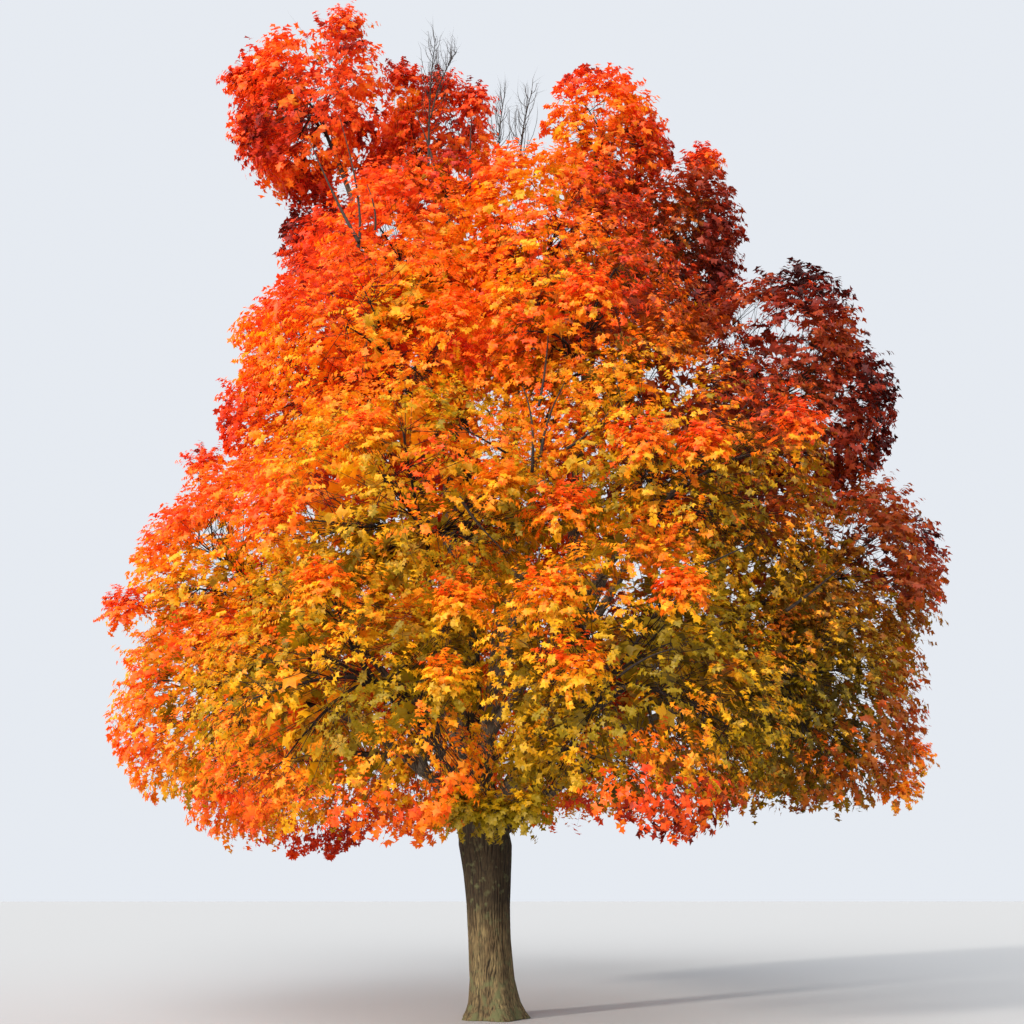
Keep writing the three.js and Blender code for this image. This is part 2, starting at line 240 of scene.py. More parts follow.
def plan_masses():
    play = seeded(PLAN_SEED)
    masses = []
    for level, tier in enumerate(TIERS):
        for k in range(tier["masses"]):
            turn = tier["turn"] + 360 * k / tier["masses"] + (play() - 0.5) * AZIMUTH_PLAY
            azimuth = math.radians(turn)
            cosine, sine = math.cos(azimuth), math.sin(azimuth)
            slope = tier["tilt"] * cosine - tier["drop"] * max(0, -sine)
            height = tier["height"] + (play() - 0.5) * HEIGHT_PLAY + slope
            radius = tier_reach(tier, cosine, sine) - tier["half"][0]
            middle = (radius * cosine, radius * sine, height)
            masses.append(new_mass(f"{tier['name']}_{k + 1}", level, k, azimuth, middle, tier["half"]))
    for k, head in enumerate(HEADS):
        x, y, _ = head["middle"]
        azimuth = math.atan2(y, x)
        masses.append(new_mass(head["name"], len(TIERS), k, azimuth, head["middle"], head["half"]))
    return masses


def raise_walls(masses):
    for mass in masses:
        across = np.array([other.middle - mass.middle for other in masses if other is not mass])
        mass.wall_normals = unit(across)
        mass.wall_distances = (np.linalg.norm(across, axis=1) - OWN_SPACE) / 2


masses = plan_masses()
raise_walls(masses)
print("masses:", ", ".join(mass.name for mass in masses))

# %% [markdown]
# Each mass keeps to a space of its own: an egg shape, cut off by walls halfway to its neighbours. One number
# tells how far out a point lies in it, 0 at the middle and 1 at the edge, and everything that grows in a
# mass asks for that number.

# %% Depth in a mass


def egg_depth(mass, points):
    return np.linalg.norm((points - mass.middle) @ mass.axes.T / mass.half, axis=-1)


def wall_depth(mass, points):
    return np.max((points - mass.middle) @ mass.wall_normals.T / mass.wall_distances, axis=-1)


def depth_in(mass, points):
    return np.maximum(egg_depth(mass, points), wall_depth(mass, points))


def point_in(mass, directions, shares):
    offsets = (directions * mass.half) @ mass.axes
    reach = shares / depth_in(mass, mass.middle + offsets)
    return mass.middle + offsets * reach[:, None]


print("depth at the middle of a mass:", depth_in(masses[0], masses[0].middle))

# %% [markdown]
# Boughs come next. Five thick limbs rise to the highest tier and carry the boughs of the tiers under it; the
# lowest boughs leave the trunk itself. A bough sets off steeply and bends over into its mass.

# %% Plan the boughs
LIMB_START, LIMB_STEP = 2.45, 0.33
LIMB_RADIUS, FIRST_LIMB_RADIUS = 0.15, 0.185
LOW_START, LOW_STEP, LOW_STEPS = 2.35, 0.16, 4
LOW_RADIUS, SIDE_SHARE, SIDE_RADIUS = 0.105, 0.36, 0.066
LIMB_BOUGHS = {1: (0.56, 0.088), 2: (0.56, 0.084), 4: (0.6, 0.062)}
LEADER_HEAD = "top_centre"
BOUGH_TIP = 0.042
BOUGH_TAPER = 0.8
ENTRY_RISE = (0.25, 0.45, 0.7, 1.6, 2.4)
LEAVE_RISE = (0.55, 0.75, 0.9, 1.15, 2.2)
LEAVE_SHARE, ENTRY_SHARE = 0.36, 0.3
CORE_SHARE = 0.64
LENGTH_STEPS = 50


def bough_curve(parent, share, mass):
    start = parent(share)[0]
    entry = unit(mass.out + UP * ENTRY_RISE[mass.level])
    tip = mass.middle - entry * mass.half[0] * CORE_SHARE
    length = np.linalg.norm(tip - start)
    leave = unit(unit((tip - start) * (1, 1, 0)) + UP * LEAVE_RISE[mass.level])
    return bezier_curve(start, start + leave * length * LEAVE_SHARE, tip - entry * length * ENTRY_SHARE, tip)


def new_bough(mass, curve, radius, parent_radius):
    steps = np.diff(curve(np.linspace(0, 1, LENGTH_STEPS)), axis=0)
    length = np.linalg.norm(steps, axis=1).sum()
    return SimpleNamespace(mass=mass, curve=curve, radius=radius, parent_radius=parent_radius, length=length)


def bough_radius(bough, share):
    return between((bough.radius, BOUGH_TIP), share**BOUGH_TAPER)


def turn_between(a, b):
    return abs(math.remainder(a - b, math.tau))


def plan_boughs():
    limbs = []
    highest = [mass for mass in masses if mass.level == len(TIERS) - 1]
    for mass in highest:
        height = LIMB_START + LIMB_STEP * ((2 * mass.order) % len(highest))
        radius = LIMB_RADIUS if mass.order else FIRST_LIMB_RADIUS
        curve = bough_curve(trunk_curve, share_at_height(trunk_curve, height), mass)
        limbs.append(new_bough(mass, curve, radius, float(trunk_radius(height))))
    boughs = list(limbs)
    for mass in masses:
        if mass.level not in LIMB_BOUGHS or mass.name == LEADER_HEAD:
            continue
        limb = min(limbs, key=lambda one: turn_between(one.mass.azimuth, mass.azimuth))
        attach, radius = LIMB_BOUGHS[mass.level]
        share = share_at_height(limb.curve, mass.middle[2] * attach)
        curve = bough_curve(limb.curve, share, mass)
        boughs.append(new_bough(mass, curve, radius, bough_radius(limb, share)))
    low = [mass for mass in masses if mass.level == 0]
    for k in range(0, len(low), 2):
        height = LOW_START + LOW_STEP * ((3 * k // 2) % LOW_STEPS)
        curve = bough_curve(trunk_curve, share_at_height(trunk_curve, height), low[k])
        main = new_bough(low[k], curve, LOW_RADIUS, float(trunk_radius(height)))
        side_curve = bough_curve(curve, SIDE_SHARE, low[k + 1])
        boughs += [main, new_bough(low[k + 1], side_curve, SIDE_RADIUS, bough_radius(main, SIDE_SHARE))]
    return boughs


boughs = plan_boughs()
print("boughs:", len(boughs), "with", round(sum(bough.length for bough in boughs)), "m of wood")

# %% [markdown]
# Joined meshes come straight from arrays of numbers: a table of points, and a table of triangles that names
# three points each. That is far quicker than making thousands of objects and joining them. All meshes here
# are made by one helper, which also says that the piece moves with the tree's only body.

# %% From arrays to a piece


def new_piece(name, points, triangles, materials, tints=None, slot="bark"):
    mesh = bpy.data.meshes.new(name)
    mesh.vertices.add(len(points))
    mesh.vertices.foreach_set("co", np.ascontiguousarray(points, np.float32).ravel())
    mesh.loops.add(triangles.size)
    mesh.loops.foreach_set("vertex_index", np.ascontiguousarray(triangles, np.int32).ravel())
    mesh.polygons.add(len(triangles))
    mesh.polygons.foreach_set("loop_start", np.arange(0, triangles.size, 3, dtype=np.int32))
    for material in materials:
        mesh.materials.append(material)
    if tints is not None:
        mesh.polygons.foreach_set("material_index", tints.astype(np.int32))
    mesh.update(calc_edges=True)
    piece = bpy.data.objects.new(name, mesh)
    bpy.context.collection.objects.link(piece)
    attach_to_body(piece, "root")
    return piece


def joined(parts):
    """Points and triangles of several meshes as one."""
    offsets = np.cumsum([0] + [len(points) for points, _ in parts[:-1]])
    points = np.vstack([points for points, _ in parts])
    triangles = np.vstack([triangles + offset for (_, triangles), offset in zip(parts, offsets)])
    return points, triangles


# %% [markdown]
# A limb of any size is a tube: rings of corners along a curve, skinned with triangles and closed at both
# ends. The helper makes many tubes at once, as long as they have equally many rings and sides, so all the
# twigs of a mass take one call.

# %% Tubes along curves
ASKEW = UP + (0.11, 0.07, 0)    # a little off upright, as an upright tube needs some way across it


def ring_axes(middles, level=False):
    if level:
        return np.broadcast_to([1.0, 0, 0], middles.shape), np.broadcast_to([0, 1.0, 0], middles.shape)
    ahead = unit(np.gradient(middles, axis=1))
    chord = middles[:, -1:] - middles[:, :1]
    aside = np.cross(chord, ASKEW)
    across = unit(aside - np.sum(aside * ahead, axis=2, keepdims=True) * ahead)
    return across, np.cross(ahead, across)


def tube_triangles(tubes, rings, sides):
    ring, side = np.meshgrid(np.arange(rings - 1), np.arange(sides), indexing="ij")
    a = ring * sides + side
    b = ring * sides + (side + 1) % sides
    skin = np.stack([a, b, b + sides, a, b + sides, a + sides], axis=-1).reshape(-1, 3)
    fan = np.stack([np.zeros(sides - 2, int), np.arange(1, sides - 1), np.arange(2, sides)], axis=1)
    last = (rings - 1) * sides
    one = np.vstack([skin, fan[:, ::-1], fan + last])
    starts = np.arange(tubes) * rings * sides
    return (one[None] + starts[:, None, None]).reshape(-1, 3)


def tubes_mesh(middles, radii, sides, level=False):
    """middles is tubes x rings x 3. radii is tubes x rings, or tubes x rings x sides."""
    across, third = ring_axes(middles, level)
    angles = np.arange(sides) * math.tau / sides
    if radii.ndim == 2:
        radii = radii[:, :, None]
    sideways = across[:, :, None] * np.cos(angles)[:, None] + third[:, :, None] * np.sin(angles)[:, None]
    points = middles[:, :, None] + sideways * radii[..., None]
    return points.reshape(-1, 3), tube_triangles(len(middles), middles.shape[1], sides)


print("a tube of 2 rings and 3 sides has", len(tube_triangles(1, 2, 3)), "triangles")

# %% [markdown]
# Old maple bark is split into long upright plates by dark furrows a centimetre or two deep. It could be a
# bump in the material, but then the trunk's edge would stay smooth, so here the furrows are cut into the
# mesh. The furrows run up the trunk side by side, sway with a slow noise, and close here and there with
# another, which leaves plates of different lengths. Both noises live on a grid that closes round the trunk.

# %% Noise round a limb
SPARE_ROWS = 3


def eased(share):
    """A share from 0 to 1 that sets off slowly and arrives slowly."""
    return share * share * (3 - 2 * share)


def lattice_noise(around, upward, columns, seed):
    """Smooth noise from -1 to 1. around runs from 0 to 1 and closes; upward is in cells."""
    rows = int(upward.max()) + SPARE_ROWS
    knots = np.random.default_rng(seed).uniform(-1, 1, (rows, columns))
    across = (around % 1) * columns
    column, row = across.astype(int), upward.astype(int)
    u, v = across - column, upward - row
    u, v = eased(u), eased(v)
    here = knots[row, column % columns] * (1 - u) + knots[row, (column + 1) % columns] * u
    above = knots[row + 1, column % columns] * (1 - u) + knots[row + 1, (column + 1) % columns] * u
    return here * (1 - v) + above * v


print("noise at one place:", round(float(lattice_noise(np.array(0.3), np.array(0.5), 6, seed=1)), 2))

# %% [markdown]
# The sizes of the pattern come next. A plate is about 5 cm wide and 30 cm long, and fine cracks cross it.
# Thin limbs get at least a few plates, so that none of them is smooth.

# %% Furrows
PLATE_WIDTH = 0.05
PLATE_LENGTH = 0.32
FEWEST_PLATES, FEWEST_SWAYS = 6, 3
PLATES_PER_SWAY, SWAY_PACE = 3, 0.8
FURROW_SWAY = 1.1
FURROW_SHARE = 0.6
FURROW_OPENNESS = 0.62
CRACK_PACE, CRACK_DEPTH, CRACK_WIDTH = 3.2, 0.2, 0.3


def furrows(around, along, girth, seed):
    """How far each point stands out of the furrows: 0 at their bottom, 1 on a plate."""
    columns = max(FEWEST_PLATES, round(girth / PLATE_WIDTH))
    sways = max(FEWEST_SWAYS, columns // PLATES_PER_SWAY)
    sway = lattice_noise(around, along / PLATE_LENGTH * SWAY_PACE, sways, seed + 1)
    plates = np.abs(np.sin(math.pi * (around * columns + sway * FURROW_SWAY)))
    broken = lattice_noise(around, along / PLATE_LENGTH, columns, seed + 2)
    cracks = np.abs(lattice_noise(around, along / PLATE_LENGTH * CRACK_PACE, columns * 2, seed + 3))
    depth = np.clip(FURROW_OPENNESS + broken, 0, 1)
    height = 1 - depth * (1 - np.clip(plates / FURROW_SHARE, 0, 1))
    height = height * (1 - CRACK_DEPTH + CRACK_DEPTH * np.clip(cracks / CRACK_WIDTH, 0, 1))
    return eased(height)


print("plates round the trunk:", round(math.tau * float(trunk_radius(1.3)) / PLATE_WIDTH))

# %% [markdown]
# Materials are trees of nodes. The same few nodes come up in every one of them: a noise, a ramp from one
# value to another, a mix of two colours. Small helpers that add and link these keep each material short.

# %% Helpers for shader nodes


def rgb(red, green, blue):
    """A colour read off a screen, from 0 to 255, as the linear one that shaders use."""
    return tuple(((value / 255 + 0.055) / 1.055) ** 2.4 for value in (red, green, blue)) + (1.0,)


def new_group(name, inputs, outputs):
    group = bpy.data.node_groups.new(name, "ShaderNodeTree")
    for label, kind, value in inputs:
        socket = group.interface.new_socket(label, in_out="INPUT", socket_type=kind)
        socket.default_value = value
    for label, kind in outputs:
        group.interface.new_socket(label, in_out="OUTPUT", socket_type=kind)
    return group, group.nodes.new("NodeGroupInput"), group.nodes.new("NodeGroupOutput")


def add_noise(tree, scale, detail, stretch=(1, 1, 1)):
    """A noise texture in metres, finer along the axes that stretch makes larger."""
    place = tree.nodes.new("ShaderNodeTexCoord")
    mapping = tree.nodes.new("ShaderNodeMapping")
    mapping.inputs["Scale"].default_value = stretch
    noise = tree.nodes.new("ShaderNodeTexNoise")
    noise.inputs["Scale"].default_value = scale
    noise.inputs["Detail"].default_value = detail
    tree.links.new(place.outputs["Object"], mapping.inputs["Vector"])
    tree.links.new(mapping.outputs["Vector"], noise.inputs["Vector"])
    return noise.outputs["Fac"]


def add_ramp(tree, source, low, high):
    """source from low to high as 0 to 1."""
    span = tree.nodes.new("ShaderNodeMapRange")
    span.inputs["From Min"].default_value = low
    span.inputs["From Max"].default_value = high
    tree.links.new(source, span.inputs["Value"])
    return span.outputs["Result"]


def add_mix(tree, amount, first, second):
    """A colour mix. Each colour is a socket or a plain colour."""
    mix = tree.nodes.new("ShaderNodeMix")
    mix.data_type = "RGBA"
    tree.links.new(amount, mix.inputs["Factor"])
    for label, colour in (("A", first), ("B", second)):
        socket = next(one for one in mix.inputs if one.name == label and one.type == "RGBA")
        if isinstance(colour, tuple):
            socket.default_value = colour
        else:
            tree.links.new(colour, socket)
    return next(one for one in mix.outputs if one.type == "RGBA")


print("middle grey in a shader:", round(rgb(128, 128, 128)[0], 3))

# %% [markdown]
# Bark's colour follows its relief: furrows are nearly black and the plates' faces weathered grey-brown, with
# lichen low on the trunk. So the mesh carries its relief along as an attribute, and the material reads it.
# The mixing of the tones is a node group, because trunk, boughs and twigs all use it, each with colours of
# its own. Two noises drawn out along the limb add fine fibres and larger worn patches.

# %% Bark tones
FIBRES = {"scale": 60, "detail": 6, "stretch": (1, 1, 0.16)}
WORN_PATCHES = {"scale": 7, "detail": 4, "stretch": (1, 1, 0.35)}
WORN_FROM_TO = (0.38, 0.66)
FIBRE_FROM_TO = (0.62, 0.3)
PLATE_FROM_TO = (0.1, 0.85)


def bark_tone_group():
    group, given, result = new_group(
        "bark_tone",
        [
            ("Relief", "NodeSocketFloat", 1.0),
            ("Furrow", "NodeSocketColor", rgb(40, 30, 22)),
            ("Plate", "NodeSocketColor", rgb(120, 104, 84)),
            ("Weathered", "NodeSocketColor", rgb(150, 138, 116)),
        ],
        [("Color", "NodeSocketColor"), ("Height", "NodeSocketFloat")],
    )
    fibres = add_noise(group, **FIBRES)
    patches = add_noise(group, **WORN_PATCHES)
    furrow = given.outputs["Furrow"]
    worn = add_ramp(group, patches, *WORN_FROM_TO)
    plate = add_mix(group, worn, given.outputs["Plate"], given.outputs["Weathered"])
    streaked = add_mix(group, add_ramp(group, fibres, *FIBRE_FROM_TO), plate, furrow)
    shallow = add_mix(group, add_ramp(group, given.outputs["Relief"], *PLATE_FROM_TO), furrow, streaked)
    group.links.new(shallow, result.inputs["Color"])
    group.links.new(fibres, result.inputs["Height"])
    return group


bark_tone = bark_tone_group()
print(bark_tone.name, "has", len(bark_tone.nodes), "nodes")

# %% [markdown]
# Lichen is a second group: a mask that is strong near the ground and breaks up into patches higher on the
# trunk. A mask keeps the group general, and the material decides what colour it brings.

# %% Lichen patches
LICHEN_AT_GROUND = 0.12
LICHEN_PATCHES = {"scale": 9, "detail": 6}
LICHEN_FROM_TO = (0.56, 0.72)


def lichen_group():
    group, given, result = new_group(
        "lichen_mask",
        [("Reach", "NodeSocketFloat", 1.6)],
        [("Mask", "NodeSocketFloat")],
    )
    place = group.nodes.new("ShaderNodeTexCoord")
    parts = group.nodes.new("ShaderNodeSeparateXYZ")
    group.links.new(place.outputs["Object"], parts.inputs["Vector"])
    fade = group.nodes.new("ShaderNodeMapRange")
    group.links.new(parts.outputs["Z"], fade.inputs["Value"])
    group.links.new(given.outputs["Reach"], fade.inputs["From Max"])
    fade.inputs["To Min"].default_value = LICHEN_AT_GROUND
    fade.inputs["To Max"].default_value = 0.0
    patches = add_noise(group, **LICHEN_PATCHES)
    total = group.nodes.new("ShaderNodeMath")
    group.links.new(patches, total.inputs[0])
    group.links.new(fade.outputs["Result"], total.inputs[1])
    mask = add_ramp(group, total.outputs["Value"], *LICHEN_FROM_TO)
    group.links.new(mask, result.inputs["Mask"])
    return group


lichen_mask = lichen_group()
print(lichen_mask.name, "has", len(lichen_mask.nodes), "nodes")

# %% [markdown]
# Three barks: the trunk's with furrows and lichen, the boughs' a little greyer and smoother, and the twigs'
# young bark, the darkest. They all share the same tone group, set to different colours.

# %% Bark materials
BUMP_STRENGTH = 0.6
BARK_SHINE = 0.25


def add_group(tree, group, **values):
    node = tree.nodes.new("ShaderNodeGroup")
    node.node_tree = group
    for label, value in values.items():
        node.inputs[label].default_value = value
    return node


def bark_material(name, furrow, plate, weathered, roughness, bump, lichen=None):
    material = bpy.data.materials.new(name)
    material.use_nodes = True
    tree = material.node_tree
    shader = tree.nodes["Principled BSDF"]
    tone = add_group(tree, bark_tone, Furrow=furrow, Plate=plate, Weathered=weathered)
    relief = tree.nodes.new("ShaderNodeAttribute")
    relief.attribute_name = "relief"
    tree.links.new(relief.outputs["Fac"], tone.inputs["Relief"])
    colour = tone.outputs["Color"]
    if lichen:
        mask = add_group(tree, lichen_mask, Reach=lichen["reach"])
        colour = add_mix(tree, mask.outputs["Mask"], colour, lichen["colour"])
    tree.links.new(colour, shader.inputs["Base Color"])
    raised = tree.nodes.new("ShaderNodeBump")
    raised.inputs["Strength"].default_value = BUMP_STRENGTH
    raised.inputs["Distance"].default_value = bump
    tree.links.new(tone.outputs["Height"], raised.inputs["Height"])
    tree.links.new(raised.outputs["Normal"], shader.inputs["Normal"])
    shader.inputs["Roughness"].default_value = roughness
    shader.inputs["Specular IOR Level"].default_value = BARK_SHINE
    return material


trunk_bark = bark_material(
    "trunk_bark", rgb(30, 22, 15), rgb(88, 72, 47), rgb(116, 100, 68), roughness=0.95, bump=0.006,
    lichen={"reach": 0.8, "colour": rgb(80, 80, 52)},
)
bough_bark = bark_material(
    "bough_bark", rgb(34, 26, 20), rgb(84, 70, 56), rgb(112, 98, 80), roughness=0.92, bump=0.003,
)
twig_bark = bark_material(
    "twig_bark", rgb(24, 17, 13), rgb(40, 30, 23), rgb(50, 38, 30), roughness=0.9, bump=0.001,
)
print("barks:", ", ".join(bark.name for bark in (trunk_bark, bough_bark, twig_bark)))

# %% [markdown]
# The trunk's skin has a corner every centimetre round it and every two centimetres up it, fine enough for
# the furrows. Above the fork the leader is thin and hidden in leaves, so it becomes a second, coarser tube
# that starts inside the first. From about a metre up, painted shade darkens the bark: its relief is told to
# the material as weaker there, and the material then picks the tones of the furrows.

# %% Trunk piece
TRUNK_STEP = 0.022
TRUNK_SIDES = 224
LEADER_START, TRUNK_TOP = 3.0, 3.35
LEADER_STEP = 0.06
LEADER_SIDES = 32
FURROW_DEPTH = 0.016
LEADER_DEPTH = FURROW_DEPTH / 3
TRUNK_SEED, LEADER_SEED = 11, 12
# painted shade on the upper trunk: it grows between the two heights to this full strength
PAINTED_SHADE_HEIGHTS, PAINTED_SHADE_STRENGTH = (1.05, 1.5), 0.72


def trunk_part(low, high, step, sides, depth, seed):
    heights = np.arange(low, high + step / 2, step)
    shares = np.array([share_at_height(trunk_curve, height) for height in heights])
    middles = trunk_curve(shares)
    middles[:, 2] = heights
    angles = np.arange(sides) * math.tau / sides
    around, along = np.meshgrid(angles / math.tau, heights)
    radii = trunk_radius(along, around * math.tau)
    girth = math.tau * float(trunk_radius((low + high) / 2))
    relief = furrows(around, along, girth, seed)
    points, triangles = tubes_mesh(middles[None], (radii - depth * (1 - relief))[None], sides, level=True)
    return points, triangles, relief.ravel()


def set_relief(piece, relief):
    attribute = piece.data.attributes.new("relief", "FLOAT", "POINT")
    attribute.data.foreach_set("value", relief.astype(np.float32))


def make_trunk():
    tip = TRUNK_LINE[-1][2]
    lower = trunk_part(0.0, TRUNK_TOP, TRUNK_STEP, TRUNK_SIDES, FURROW_DEPTH, TRUNK_SEED)
    leader = trunk_part(LEADER_START, tip, LEADER_STEP, LEADER_SIDES, LEADER_DEPTH, LEADER_SEED)
    points, triangles = joined([lower[:2], leader[:2]])
    piece = new_piece("trunk_with_bark", points, triangles, [trunk_bark])
    # painted shade: the relief is lowered from about a metre up, so the upper bark takes the furrows' dark
    # tones
    painted_shade_share = np.interp(points[:, 2], PAINTED_SHADE_HEIGHTS, (0, PAINTED_SHADE_STRENGTH))
    set_relief(piece, np.concatenate([lower[2], leader[2]]) * (1 - painted_shade_share))
    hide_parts("trunk")
    return piece


trunk = make_trunk()
print("trunk:", len(trunk.data.polygons), "triangles")

# %% [markdown]
# A bough is the same kind of tube on its own curve. Where it leaves its parent it swells into a collar, as
# real ones do, so that it seems to grow out and not to be stuck on. The boughs of a tier are one mesh.

# %% Bough pieces
COLLAR, COLLAR_REACH = 0.45, 1.2
BOUGH_SIDES = {True: 20, False: 12}
THICK = 0.1
FEWEST_RINGS, RING_STEP = 24, 0.4
BOUGH_FURROW = 0.08
BOUGH_SEED, SEED_STEP = 100, 10
TIER_NAMES = [tier["name"] for tier in TIERS] + ["top"]


def bough_mesh(bough, seed):
    sides = BOUGH_SIDES[bough.radius > THICK]
    rings = max(FEWEST_RINGS, int(bough.length / (bough.radius * RING_STEP)))
    shares = np.linspace(0, 1, rings)
    middles = bough.curve(shares)
    along = shares * bough.length
    radii = bough_radius(bough, shares)
    out_of_parent = np.maximum(along - bough.parent_radius, 0)
    radii = radii * (1 + COLLAR * np.exp(-out_of_parent / (COLLAR_REACH * bough.radius)))
    around, lengths = np.meshgrid(np.arange(sides) / sides, along)
    relief = furrows(around, lengths, math.tau * bough.radius, seed)
    depth = radii[:, None] * BOUGH_FURROW
    points, triangles = tubes_mesh(middles[None], (radii[:, None] - depth * (1 - relief))[None], sides)
    return points, triangles, relief.ravel()


def make_boughs():
    for level, tier_name in enumerate(TIER_NAMES):
        mine = [(k, bough) for k, bough in enumerate(boughs) if bough.mass.level == level]
        parts = [bough_mesh(bough, BOUGH_SEED + SEED_STEP * k) for k, bough in mine]
        points, triangles = joined([part[:2] for part in parts])
        piece = new_piece(f"boughs_{tier_name}", points, triangles, [bough_bark])
        set_relief(piece, np.concatenate([part[2] for part in parts]))
        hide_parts(*[f"bough_{bough.mass.name}" for _, bough in mine])
        print(piece.name, len(triangles), "triangles")


make_boughs()

# %% [markdown]
# A crown isn't smooth. It bulges and sinks every metre or two, and the valleys between the bulges are what
# gives it its dark lines. A sum of a few waves that run in all directions makes such a pattern anywhere in
# space, and the same number later makes the bulges redder, because they get more light.

# %% Bulges and valleys
WAVES = 10
WAVE_LENGTHS = (1.3, 2.6)
WAVE_SEED = 5
STEEPNESS = 1.5


def make_waves():
    random = np.random.default_rng(WAVE_SEED)
    ways = unit(random.normal(size=(WAVES, 3)))
    lengths = random.uniform(*WAVE_LENGTHS, (WAVES, 1))
    return math.tau * ways / lengths, random.uniform(0, math.tau, WAVES)


WAVE_WAYS, WAVE_PHASES = make_waves()


def swell_at(points):
    """-1 in a valley, 1 on a bulge."""
    waves = np.cos(points @ WAVE_WAYS.T + WAVE_PHASES)
    return np.clip(waves.sum(axis=-1) / math.sqrt(WAVES / 2) / STEEPNESS, -1, 1)


swells = swell_at(np.array([mass.middle for mass in masses]))
print("swell at the masses' middles: from", swells.min().round(1), "to", swells.max().round(1))

# %% [markdown]
# A crown is open in places. A pocket is a ball in which nothing grows, so that dark limbs show in it. A sky
# hole is a narrow way right through the crown, as wide as it looks from the viewer's place, with a ragged
# edge. Each has a place on the tree and a size.

# %% Openings in the foliage
POCKETS = [
    ((0.5, -5.0, 6.75), 0.45),
    ((0.7, -4.3, 7.9), 0.3),
    ((-0.2, -5.4, 5.1), 0.3),
    ((2.4, -5.1, 4.95), 0.22),
    ((3.8, -3.9, 5.0), 0.25),
    ((-0.2, -4.8, 3.0), 0.3),
    ((0.5, -4.9, 2.7), 0.25),
]
SKY_HOLES = [
    ((-2.7, -0.5, 13.3), 0.24),
    ((-3.2, -0.5, 14.4), 0.15),
    ((-3.4, -0.5, 13.9), 0.12),
    ((-3.75, -0.5, 17.2), 0.5),
    ((-1.7, -2.5, 10.9), 0.12),
    ((3.4, -4.3, 6.1), 0.08),
    ((1.9, -4.3, 7.6), 0.1),
    ((2.3, -4.3, 7.5), 0.12),
    ((0.8, -5.4, 3.9), 0.05),
    ((2.6, -4.6, 4.7), 0.05),
    ((3.4, -3.5, 9.0), 0.16),
]
POCKET_DEPTH, POCKET_RIM = 2.4, 0.3
HOLE_PLAY, HOLE_GRAIN = 0.7, 5.0


def distance_to(centre):
    return np.linalg.norm(np.array(centre) - EYE)


def past(points, centre):
    """How far each point lies along and off the viewer's way through a centre."""
    way = unit(np.array(centre) - EYE)
    along = (points - EYE) @ way
    return along, np.linalg.norm(points - EYE - along[..., None] * way, axis=-1)


def outside_windows(points):
    clear = np.ones(points.shape[:-1], bool)
    for centre, radius in POCKETS:
        clear &= np.linalg.norm(points - centre, axis=-1) > radius
    ragged = 1 + HOLE_PLAY * swell_at(points * HOLE_GRAIN)
    for centre, radius in SKY_HOLES:
        along, off = past(points, centre)
        clear &= off > radius * ragged * along / distance_to(centre)
    return clear


def behind_pocket(points):
    found = np.zeros(len(points), bool)
    for centre, radius in POCKETS:
        along, off = past(points, centre)
        depth = along - distance_to(centre)
        found |= (off < radius + POCKET_RIM) & (depth > -radius) & (depth < POCKET_DEPTH)
    return found


print("openings:", len(POCKETS), "pockets and", len(SKY_HOLES), "sky holes")

# %% [markdown]
# Most leaves of a crown never show, so the triangles should go to those that do. A point is in sight if
# nothing leafy lies between it and the viewer, and against the sky if nothing leafy lies behind it either. A
# real test would send rays at a million leaves. Steps through the egg shapes answer the same question well
# enough, and in a moment.

# %% What the viewer can see
SIGHT_STEPS = np.arange(0.4, 7.2, 0.4)
LEAFY = 0.68


def nothing_leafy(points, ways):
    """True where a way that starts at a point runs through no mass."""
    clear = np.ones(len(points), bool)
    for distance in SIGHT_STEPS:
        for mass in masses:
            clear &= egg_depth(mass, points + ways * distance) > LEAFY
    return clear


def in_sight(points):
    return nothing_leafy(points, unit(np.array(EYE) - points))


def against_the_sky(points):
    """True where a point is in sight and only sky is behind it."""
    ways = unit(np.array(EYE) - points)
    return nothing_leafy(points, ways) & nothing_leafy(points, -ways)


tips = np.array([mass.middle + mass.out * mass.half[0] for mass in masses])
print("masses with their tip in sight:", int(in_sight(tips).sum()), "of", len(masses))

# %% [markdown]
# Leaves and twigs should be spread evenly, yet never in rows. Each mass takes its directions from one
# sequence, which has a useful property: its first dozen are as evenly spread as its first fifty. So the
# solid model could use a few of them, and the finished tree goes on with the rest.

# %% Even directions
SIDEWAYS_LIMIT = math.radians(135)
TRUNK_SIDE = (SIDEWAYS_LIMIT, math.tau - SIDEWAYS_LIMIT)
ALL_ROUND = (0, math.tau)
LOWEST, HIGHEST = -0.92, 0.92
TURN_STEP, HEIGHT_STEP = 0.7548776662, 0.569840291


def spread_directions(count, turns=(-SIDEWAYS_LIMIT, SIDEWAYS_LIMIT)):
    k = np.arange(count)
    turn = between(turns, (0.5 + k * TURN_STEP) % 1)
    height = between((LOWEST, HIGHEST), (0.5 + k * HEIGHT_STEP) % 1)
    flat = np.sqrt(1 - height**2)
    return np.stack([flat * np.cos(turn), flat * np.sin(turn), height], axis=1)


def turned(vectors, axes, angles):
    """Vectors at right angles to their axes, turned round them."""
    return vectors * np.cos(angles)[:, None] + np.cross(axes, vectors) * np.sin(angles)[:, None]


def flattened(vectors, normals):
    return unit(vectors - np.sum(vectors * normals, axis=-1, keepdims=True) * normals)


print("the first three directions:", spread_directions(3).round(2).tolist())

# %% [markdown]
# A spray is a leafy shoot. On the real tree each one hangs a little and turns its upper side to the light,
# so a spray needs a place, a way ahead and a way that it faces. One table of arrays holds all of them for a
# mass, with a row for each, and also tells which rows the viewer can see.

# %% A table of sprays
SPRAY_LENGTH = 1.45
SPRAY_PLAY = 0.2
SPRAY_TURN = math.radians(120)
SPRAY_RISE = 0.2
DRAWS = 4
FACE_OUT, HANG_OUT = 0.3, 0.2
AIR_AHEAD = 0.5
IN_ANOTHER = 0.8
EGG_LIMIT = 1.0


def join_tables(tables):
    return {label: np.concatenate([table[label] for table in tables]) for label in tables[0]}


def chosen(table, which):
    return {label: values[which] for label, values in table.items()}


